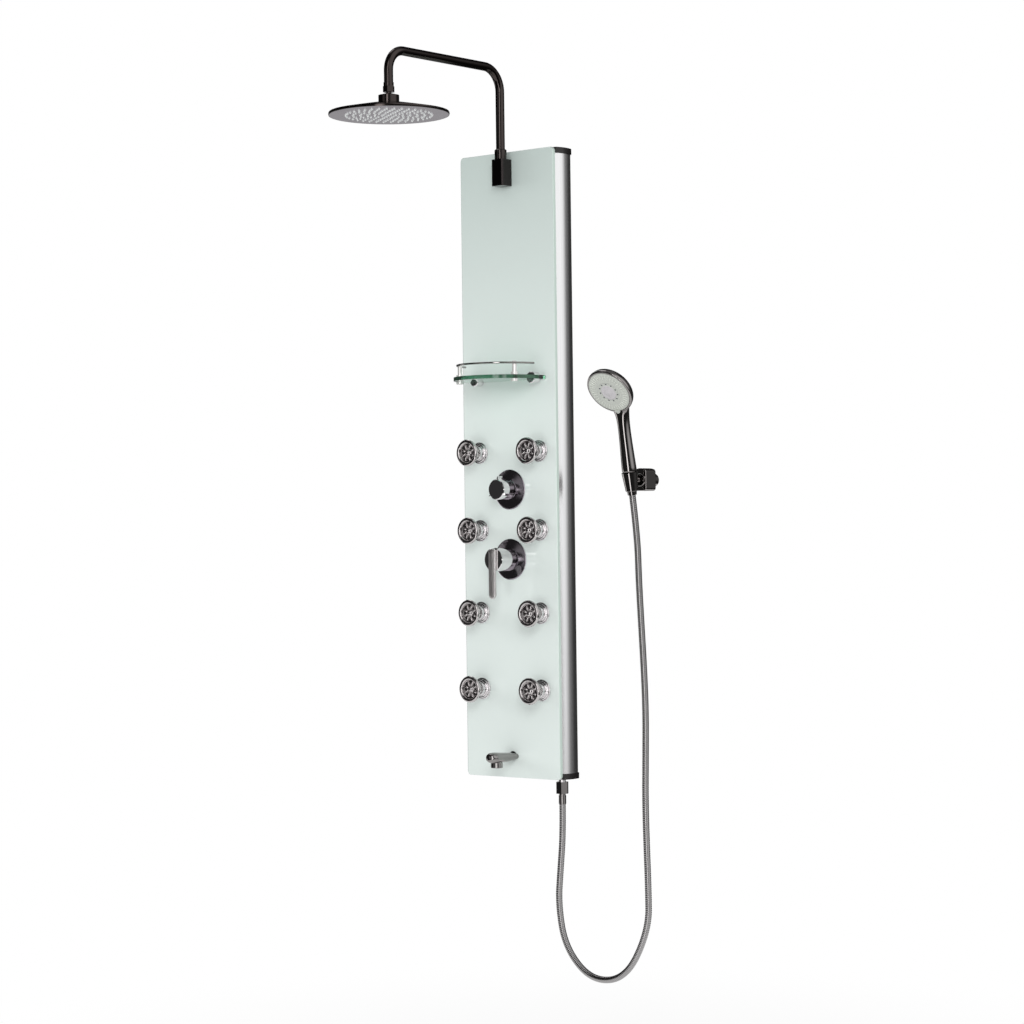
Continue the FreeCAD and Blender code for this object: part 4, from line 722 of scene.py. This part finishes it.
def leverRows():
    # (from the glass, inset of the outline): the back's edge, the front's soft edge, the crowned front
    soft = lever["softness"]
    rows = [(lever["back"], 0.8), (lever["back"] + 0.5, 0.1), (lever["back"] + 1.2, 0)]
    for i in range(7):
        a = math.pi / 2 * i / 6
        rows.append((lever["front"] - soft * (1 - math.sin(a)), soft * (1 - math.cos(a))))
    for i in range(1, 8):
        share = i / 7
        inset = soft + (lever["halfWidth"] * lever["crownRun"] - soft) * share
        rows.append((lever["front"] + lever["crown"] * (1 - (1 - share) ** 2), inset))
    return rows


def makeLever():
    bm = bmesh.new()
    rings = []
    for out, inset in leverRows():
        rings.append([bm.verts.new((x / 1000, glassFront - out / 1000, lever["height"] + z / 1000))
                      for x, z in leverOutline(inset)])
    joinRings(bm, rings)
    out, rise, radius = lever["pivot"]
    barrel, neck = lever["barrel"], lever["neck"]
    pivot = Vector((0, glassFront - out / 1000, lever["height"] + rise / 1000))
    turnProfile(bm, [(0, 0), (0, radius), (barrel, radius), (barrel, 0)],
                pivot - Vector((barrel / 2000, 0, 0)), (1, 0, 0), 24, Vector((0, 1, 0)))
    turnProfile(bm, [(0, 0), (0, radius), (neck, radius), (neck, 0)], pivot, (0, -1, 0), 24)
    meshPiece("mixerLever", bm, "mixer_lever", finish["satinChrome"], 50, "mixer_lever")


makeLever()
print("mixer lever ready")


# Escutcheons: domed discs with a thin rolled edge

plates = {
    # height, radius
    "places": {"diverter_escutcheon": (-0.054, 43.0), "mixer_escutcheon": (-0.2045, 44.0)},
    "bore": 15.2,
    "collar": 19.6,            # radius of the flat middle, which the knob and the hub stand over
    "domeEnd": 20.5,
    "edge": 1.9,               # thickness at the rolled edge
    "rise": 4.9,
    "domeShape": 0.93,         # one is a plain cone, less bulges
    "sides": 96,
}


def makePlate(node, height, radius):
    bore, collar, edge = plates["bore"], plates["collar"], plates["edge"]
    dome = [(0, bore), (0, radius - 0.4), (0.5, radius), (1.2, radius), (1.7, radius - 0.5)]
    for i in range(1, 15):
        share = i / 15
        reach = radius - 0.8 - (radius - plates["domeEnd"]) * share
        dome.append((edge + plates["rise"] * share ** plates["domeShape"], reach))
    dome += [(7.0, collar), (7.0, bore)]
    bm = bmesh.new()
    rings = turnProfile(bm, dome, (0, glassFront, height), (0, -1, 0), plates["sides"])
    joinRings(bm, [rings[-1], rings[0]], capped=False)
    meshPiece(node.replace("_e", "E"), bm, "panel", finish["plateShadePaintedChrome"], 40, node)


for node, (height, radius) in plates["places"].items():
    makePlate(node, height, radius)
print("escutcheons ready")


# Rain head's soft nozzles on their mat

rain = {
    "centre": (0.0, -0.429, 0.7145),
    "rings": 6,
    "pitch": 14.8,
    "mat": ((1.6, 0), (1.6, 93.8), (2.8, 93.8), (2.8, 0)),      # profiles: height, radius
    "tip": ((-2.6, 0), (-2.6, 1.2), (-1.6, 2.0), (-0.4, 2.5), (0.05, 2.9), (0.05, 1.7), (1.6, 1.7), (1.6, 0)),
}


def makeRainNozzles():
    bm = bmesh.new()
    centre = Vector(rain["centre"])
    up = (0, 0, 1)
    turnProfile(bm, rain["mat"], centre, up, 64)
    for ring in range(rain["rings"] + 1):
        # each ring has six nozzles more than the one inside it
        count = max(1, 6 * ring)
        for i in range(count):
            a = math.tau * (i + 0.5 * (ring % 2)) / count
            spot = Vector((math.cos(a), math.sin(a), 0)) * ring * rain["pitch"] / 1000
            turnProfile(bm, rain["tip"], centre + spot, up, 12)
    meshPiece("rainNozzles", bm, "rain_head", finish["nozzleRubber"], 60, "rain_nozzles")


makeRainNozzles()
print("rain nozzles ready")


# Hand shower's body: a handle that widens into the back of a round head

handset = {
    "foot": (0.3445, -0.0735, -0.072),
    "lean": 10.1,
    # along the handle, forward of it, half width, half depth, bend in degrees
    "stations": (
        (36.0, 0, 12.6, 12.6, 0), (45.5, 0, 13.4, 13.4, 0), (47.4, 0, 13.7, 13.7, 0),
        (49.6, 0, 15.0, 15.0, 0), (51.5, 0, 15.5, 15.5, 0), (58, 0, 15.4, 15.4, 0),
        (72, 0, 14.9, 14.9, 0), (90, 0, 14.2, 14.1, 0), (110, 0, 13.5, 13.4, 0),
        (130, 0, 13.0, 13.0, 0), (148, 0, 13.2, 12.8, 0), (160, 0.2, 14.2, 12.8, 3),
        (170, 0.6, 16.0, 12.8, 9), (178, 1.6, 18.6, 12.8, 17), (185, 3.2, 22.0, 12.4, 27),
        (191, 5.6, 26.0, 11.4, 38), (197, 8.8, 30.0, 9.6, 48),
    ),
    "points": 40,
    "rim": 52.2,               # radius
    "rimBack": 8.4,            # behind the spray face
    "depth": 27.0,             # of the whole head
    "domeShape": 0.72,         # one is round, less is fuller
    # (back, radius) of the hollow that takes the spray face, up to the rim
    "hollow": ((8.4, 0), (6.2, 5.2), (6.2, 47.7), (0.6, 47.7), (0.1, 48.2), (0.0, 49.0)),
}


def makeHandset():
    lean, tilt = math.radians(handset["lean"]), math.radians(spray["tilt"])
    up = Vector((0, -math.sin(lean), math.cos(lean)))
    forward = Vector((0, -math.cos(lean), -math.sin(lean)))
    side = Vector((1, 0, 0))
    foot = Vector(handset["foot"])
    points = handset["points"]
    bm = bmesh.new()
    rings = []
    for along, ahead, half, deep, bend in handset["stations"]:
        a = math.radians(bend)
        across = forward * math.cos(a) - up * math.sin(a)
        middle = foot + (up * along + forward * ahead) / 1000
        rings.append([bm.verts.new(middle + (side * half * math.cos(t) + across * deep * math.sin(t)) / 1000)
                      for t in (math.tau * k / points for k in range(points))])
    joinRings(bm, rings)
    back = Vector((0, math.cos(tilt), math.sin(tilt)))
    rim, depth, rimBack = handset["rim"], handset["depth"], handset["rimBack"]
    edge = rim - 0.9
    head = [*handset["hollow"], (0.4, rim - 1.5), (1.2, rim - 0.5), (2.6, rim), (6.0, rim), (rimBack, edge)]
    for i in range(1, 12):
        a = math.pi / 2 * i / 12
        dome = edge * math.cos(a) ** handset["domeShape"]
        head.append((rimBack + (depth - rimBack) * math.sin(a), dome))
    head.append((depth, 0))
    turnProfile(bm, head, spray["centre"], back, 80, side)
    meshPiece("handset", bm, "holder", finish["handsetShadePaintedChrome"], 40, "hand_shower_body")


# Hand shower's spray face: ribbed ring, lilac centre disc, a ring of holes and a pointed tab

spray = {
    "centre": (0.3445, -0.1473, 0.1382),
    "tilt": 38.7,              # the face looks this far below level
    # (out of the face, radius) of the turned face
    "dish": ((-5.7, 0), (-5.7, 47.3), (-0.3, 47.3), (0.6, 47.0), (1.1, 46.2), (1.35, 45.0), (1.5, 43),
             (1.9, 27), (2.0, 25.0), (1.4, 24.2), (1.3, 18.4), (1.5, 18.0), (1.5, 0)),
    # (down from the centre, half width) of the pointed tab
    "tab": ((44.0, 6.6), (47.5, 6.4), (50.5, 5.4), (53.4, 3.7), (56.0, 1.9), (57.4, 0.6)),
    "tabFoot": 0.3,
    "tabHeight": 0.72,         # share of its half width
    "ribs": 40,
    "ribRun": (30.5, 44.5),
    "ribSize": (0.95, 1.3),    # half width, height
    "ribFoot": 1.3,
    "centreRadius": 17.8,
    "holes": 11,
    "holesAt": 21.0,
    "hole": ((1.2, 0), (1.2, 1.6), (1.7, 1.5), (1.9, 0.9), (1.5, 0.7), (1.5, 0)),
}


def makeSprayFace():
    tilt = math.radians(spray["tilt"])
    out = Vector((0, -math.cos(tilt), -math.sin(tilt)))
    side = Vector((1, 0, 0))
    down = Vector((0, math.sin(tilt), -math.cos(tilt)))
    centre = Vector(spray["centre"])

    def wayAt(i, count):
        a = math.tau * (i + 0.5) / count
        return side * math.cos(a) + down * math.sin(a)

    bm = bmesh.new()
    turnProfile(bm, spray["dish"], centre, out, 72, side)
    arcs = []
    for along, half in spray["tab"]:
        arcs.append([bm.verts.new(centre + down * along / 1000
                                  + out * (spray["tabFoot"] + half * spray["tabHeight"] * math.sin(a)) / 1000
                                  + side * half * math.cos(a) / 1000)
                     for a in (math.pi * k / 12 for k in range(13))])
    joinRings(bm, arcs, capped=False)
    bm.faces.new(arcs[0])
    bm.faces.new(arcs[-1][::-1])
    meshPiece("sprayFace", bm, "spray_face", finish["sprayFaceGrey"], 50, "hand_shower_face")

    bm = bmesh.new()
    inner, outer = spray["ribRun"]
    half, high = (v / 1000 for v in spray["ribSize"])
    for i in range(spray["ribs"]):
        way = wayAt(i, spray["ribs"])
        foot = centre + way * (inner + outer) / 2000 + out * spray["ribFoot"] / 1000
        addMound(bm, foot, out, way, (outer - inner) / 2000, half, high, 12, 3)
    meshPiece("sprayRibs", bm, "spray_face", finish["sprayRibPale"], 70)

    bm = bmesh.new()
    edge = spray["centreRadius"]
    disc = [(1.3, 0), (1.3, edge), (1.9, edge - 0.2), (2.4, edge - 1.0), (2.6, edge - 4), (2.6, 8.4),
            (3.0, 7.8), (3.1, 0)]
    turnProfile(bm, disc, centre, out, 56, side)
    meshPiece("sprayCentre", bm, "spray_face", finish["sprayCentreLilac"], 50)

    bm = bmesh.new()
    for i in range(spray["holes"]):
        place = centre + wayAt(i, spray["holes"]) * spray["holesAt"] / 1000
        turnProfile(bm, spray["hole"], place, out, 14, side)
    meshPiece("sprayHoles", bm, "spray_face", finish["sprayHoleDark"], 50)


makeHandset()
makeSprayFace()
print("hand shower ready")


# Finishes for the CAD nodes that are shown as they are

dressing = {
    "panelGlass": ("glass_panel",),
    "shelfGlass": ("shelf_glass",),
    "brushedAluminium": ("side_profile_left", "side_profile_right"),
    "capPlastic": ("end_caps",),
    "shadePaintedChrome": ("arm_nut", "shower_arm", "swivel_ball", "swivel_hub", "rain_head_shell"),
    "deepShadePaintedChrome": ("arm_connector",),
    "railShadePaintedChrome": ("shelf_rail",),
    "platedChrome": ("shelf_supports", "diverter_knob", "mixer_hub", "hose_outlet"),
    "spoutShadePaintedChrome": ("spout_aerator",),
    "postPaintedSheen": ("shelf_posts",),
    "handsetShadePaintedChrome": ("hose_nut", "hose_cone_nut", "bracket_base", "bracket_ring", "bracket_holder"),
    "rainFaceChrome": ("rain_head_face",),
    "ballSeatWhite": ("swivel_seat", *("jet_seat_%d" % n for n in range(1, 9))),
    "hiddenSteel": ("cross_rails", "wall_hangers", "end_plates", "overhead_pipe", "jet_pipes",
                    "branch_pipes"),
    "turnedBrass": ("diverter_valve", "mixer_valve", "lock_nuts"),
}


def dressNodes():
    dressed = set()
    for name, wearers in dressing.items():
        for wearer in wearers:
            for slot in nodes[wearer].material_slots:
                slot.material = finish[name]
            dressed.add(wearer)
    bare = sorted(set(nodes) - dressed - rebuilt)
    print("CAD nodes dressed:", len(dressed), "bare:", bare)


dressNodes()


# Studio: a pale floor, a white backdrop and soft light

studio = {
    "floorHeight": -1.36,
    "floorRadius": 2.0,
    "floorColour": (0.86, 0.86, 0.86),
    "floorGlow": 0.86,        # share of plain white that the camera sees near the panel
    "floorPales": (0.35, 0.92),    # from this distance, to this share of its radius
    "roomLevel": 0.034,       # dim light from all round
    "fillLevel": 0.58,        # more of it, for dull surfaces only
    "roomGlows": (
        # towards, half width and softness in degrees, brightness
        ((0.70, -0.71, 0.0), 3, 5, 3.0),
        ((-0.95, -0.10, -0.27), 5, 9, 1.8),
        ((0.45, -0.55, -0.70), 5, 8, 1.6),
        ((-0.48, 0.13, 0.87), 6, 8, 2.2),
        ((0.67, 0.28, 0.69), 6, 8, 2.2),
        ((-0.26, -0.96, 0.10), 7, 12, 0.34),
        ((0.77, 0.54, 0.34), 10, 32, 0.15),
        ((-0.64, 0.755, -0.146), 7, 10, 0.34),
        ((0.0, 0.10, 1.0), 14, 20, 0.22),
    ),
    # a tall strip of light: turn from straight in front, half width, softness, lowest, highest, brightness
    "strip": (25, 3, 7, -50, 55, 3.6),
    "backdrop": ((0.862, 0.076, 0.50), 28, 20, 1.0),    # the white backdrop that metal shows
    "lamps": (
        # place, aimed at, size, watts
        ((2.9, -3.4, 1.3), (0.0, 0.0, 0.0), 1.9, 62),
        ((-3.7, -1.3, 0.8), (0.0, 0.0, -0.1), 1.9, 44),
        ((0.5, -4.2, -0.9), (0.0, 0.0, -0.5), 1.5, 18),
    ),
}


def makeFloor():
    radius = studio["floorRadius"]
    bm = bmesh.new()
    bm.faces.new([bm.verts.new((radius * math.cos(a), radius * math.sin(a), studio["floorHeight"]))
                  for a in (math.tau * k / 64 for k in range(64))])
    mesh = bpy.data.meshes.new("studioFloor")
    bm.to_mesh(mesh)
    bm.free()
    floor = bpy.data.objects.new("studioFloor", mesh)
    bpy.context.scene.collection.objects.link(floor)
    material, tree, shader = startFinish("paleFloor", {"Roughness": 0.9, "Specular IOR Level": 0.1})
    shader.inputs["Base Color"].default_value = (*studio["floorColour"], 1)
    rays = addNode(tree, "ShaderNodeLightPath")
    seen = addNode(tree, "ShaderNodeMath", None,
                   {0: rays.outputs["Is Camera Ray"], 1: rays.outputs["Is Glossy Ray"]}, operation="MAXIMUM")
    seenToo = addNode(tree, "ShaderNodeMath", None,
                      {0: seen.outputs[0], 1: rays.outputs["Is Transmission Ray"]}, operation="MAXIMUM")
    # the floor pales to plain white towards its rim
    place = addNode(tree, "ShaderNodeTexCoord")
    flat = addNode(tree, "ShaderNodeVectorMath", {1: (1, 1, 0)}, {0: place.outputs["Object"]},
                   operation="MULTIPLY")
    away = addNode(tree, "ShaderNodeVectorMath", None, {0: flat.outputs["Vector"]}, operation="LENGTH")
    pale = addNode(tree, "ShaderNodeMapRange",
                   {"From Min": studio["floorPales"][0], "From Max": radius * studio["floorPales"][1],
                    "To Min": studio["floorGlow"], "To Max": 1.0},
                   {"Value": away.outputs["Value"]}, interpolation_type="SMOOTHSTEP")
    share = addNode(tree, "ShaderNodeMath", None, {0: seenToo.outputs[0], 1: pale.outputs["Result"]},
                    operation="MULTIPLY")
    white = addNode(tree, "ShaderNodeEmission", {"Color": (1, 1, 1, 1), "Strength": 1.0})
    both = addNode(tree, "ShaderNodeMixShader", None,
                   {0: share.outputs[0], 1: shader.outputs[0], 2: white.outputs[0]})
    tree.links.new(both.outputs[0], tree.nodes["Material Output"].inputs["Surface"])
    mesh.materials.append(material)


def fadeOut(tree, near, half, soft, bright):
    # bright where the cosine is within half, gone past half and soft together, both in degrees
    edges = (math.cos(math.radians(half + soft)), math.cos(math.radians(half)))
    fade = addNode(tree, "ShaderNodeMapRange", {"From Min": edges[0], "From Max": edges[1], "To Max": bright},
                   {"Value": near}, interpolation_type="SMOOTHSTEP")
    return fade.outputs["Result"]


def makeGlow(tree, place, towards, half, soft, bright):
    near = addNode(tree, "ShaderNodeVectorMath", {1: Vector(towards).normalized()},
                   {0: place.outputs["Generated"]}, operation="DOT_PRODUCT")
    return fadeOut(tree, near.outputs["Value"], half, soft, bright)


def makeStrip(tree, place, turn, half, soft, low, high, bright):
    flat = addNode(tree, "ShaderNodeVectorMath", {1: (1, 1, 0)}, {0: place.outputs["Generated"]},
                   operation="MULTIPLY")
    level = addNode(tree, "ShaderNodeVectorMath", None, {0: flat.outputs["Vector"]}, operation="NORMALIZE")
    a = math.radians(turn)
    near = addNode(tree, "ShaderNodeVectorMath", {1: (math.sin(a), -math.cos(a), 0)},
                   {0: level.outputs["Vector"]}, operation="DOT_PRODUCT")
    width = fadeOut(tree, near.outputs["Value"], half, soft, bright)
    apart = addNode(tree, "ShaderNodeSeparateXYZ", None, {0: place.outputs["Generated"]})
    middle, reach = math.radians(high + low) / 2, math.sin(math.radians(high - low) / 2)
    offset = addNode(tree, "ShaderNodeMath", {1: math.sin(middle)}, {0: apart.outputs["Z"]},
                     operation="SUBTRACT")
    away = addNode(tree, "ShaderNodeMath", None, {0: offset.outputs[0]}, operation="ABSOLUTE")
    # it fades over the outer two fifths of its height, above and below
    height = addNode(tree, "ShaderNodeMapRange", {"From Min": reach, "From Max": reach * 0.6},
                     {"Value": away.outputs[0]}, interpolation_type="SMOOTHSTEP")
    return addNode(tree, "ShaderNodeMath", None, {0: width, 1: height.outputs["Result"]},
                   operation="MULTIPLY").outputs[0]


def makeRoom():
    world = bpy.data.worlds.new("softRoom")
    bpy.context.scene.world = world
    world.use_nodes = True
    tree = world.node_tree
    tree.nodes.clear()
    place = addNode(tree, "ShaderNodeTexCoord")
    total = makeStrip(tree, place, *studio["strip"])
    for glow in studio["roomGlows"]:
        total = addNode(tree, "ShaderNodeMath", None, {0: total, 1: makeGlow(tree, place, *glow)},
                        operation="ADD").outputs[0]
    # metal shows the glows, dull surfaces get the even fill
    rays = addNode(tree, "ShaderNodeLightPath")
    shown = addNode(tree, "ShaderNodeMath", {2: studio["roomLevel"]},
                    {0: rays.outputs["Is Glossy Ray"], 1: total}, operation="MULTIPLY_ADD").outputs[0]
    total = addNode(tree, "ShaderNodeMath", {1: studio["fillLevel"]},
                    {0: rays.outputs["Is Diffuse Ray"], 2: shown}, operation="MULTIPLY_ADD").outputs[0]
    room = addNode(tree, "ShaderNodeBackground", {"Color": (1.0, 0.99, 0.99, 1)}, {"Strength": total})
    white = addNode(tree, "ShaderNodeBackground", {"Color": (1, 1, 1, 1), "Strength": 1.0})
    # metal shows the white backdrop where it looks behind the panel
    behind = makeGlow(tree, place, *studio["backdrop"])
    gloss = addNode(tree, "ShaderNodeMath", None,
                    {0: rays.outputs["Is Glossy Ray"], 1: behind}, operation="MULTIPLY")
    seen = addNode(tree, "ShaderNodeMath", None,
                   {0: rays.outputs["Is Camera Ray"], 1: rays.outputs["Is Transmission Ray"]},
                   operation="MAXIMUM")
    share = addNode(tree, "ShaderNodeMath", None, {0: seen.outputs[0], 1: gloss.outputs[0]},
                    operation="MAXIMUM")
    both = addNode(tree, "ShaderNodeMixShader", None,
                   {0: share.outputs[0], 1: room.outputs[0], 2: white.outputs[0]})
    addNode(tree, "ShaderNodeOutputWorld", None, {"Surface": both.outputs[0]})


def makeLamps():
    for number, (place, aim, size, watts) in enumerate(studio["lamps"], 1):
        light = bpy.data.lights.new("softLamp%d" % number, "AREA")
        light.shape = "DISK"
        light.size = size
        light.energy = watts
        lamp = bpy.data.objects.new("softLamp%d" % number, light)
        bpy.context.scene.collection.objects.link(lamp)
        lamp.location = place
        lamp.rotation_euler = (Vector(aim) - Vector(place)).to_track_quat("-Z", "Y").to_euler()
        lamp.visible_glossy = False      # metal shows the room's own glows instead


makeFloor()
makeRoom()
makeLamps()
bpy.context.scene.view_settings.view_transform = "Standard"
print("studio ready")
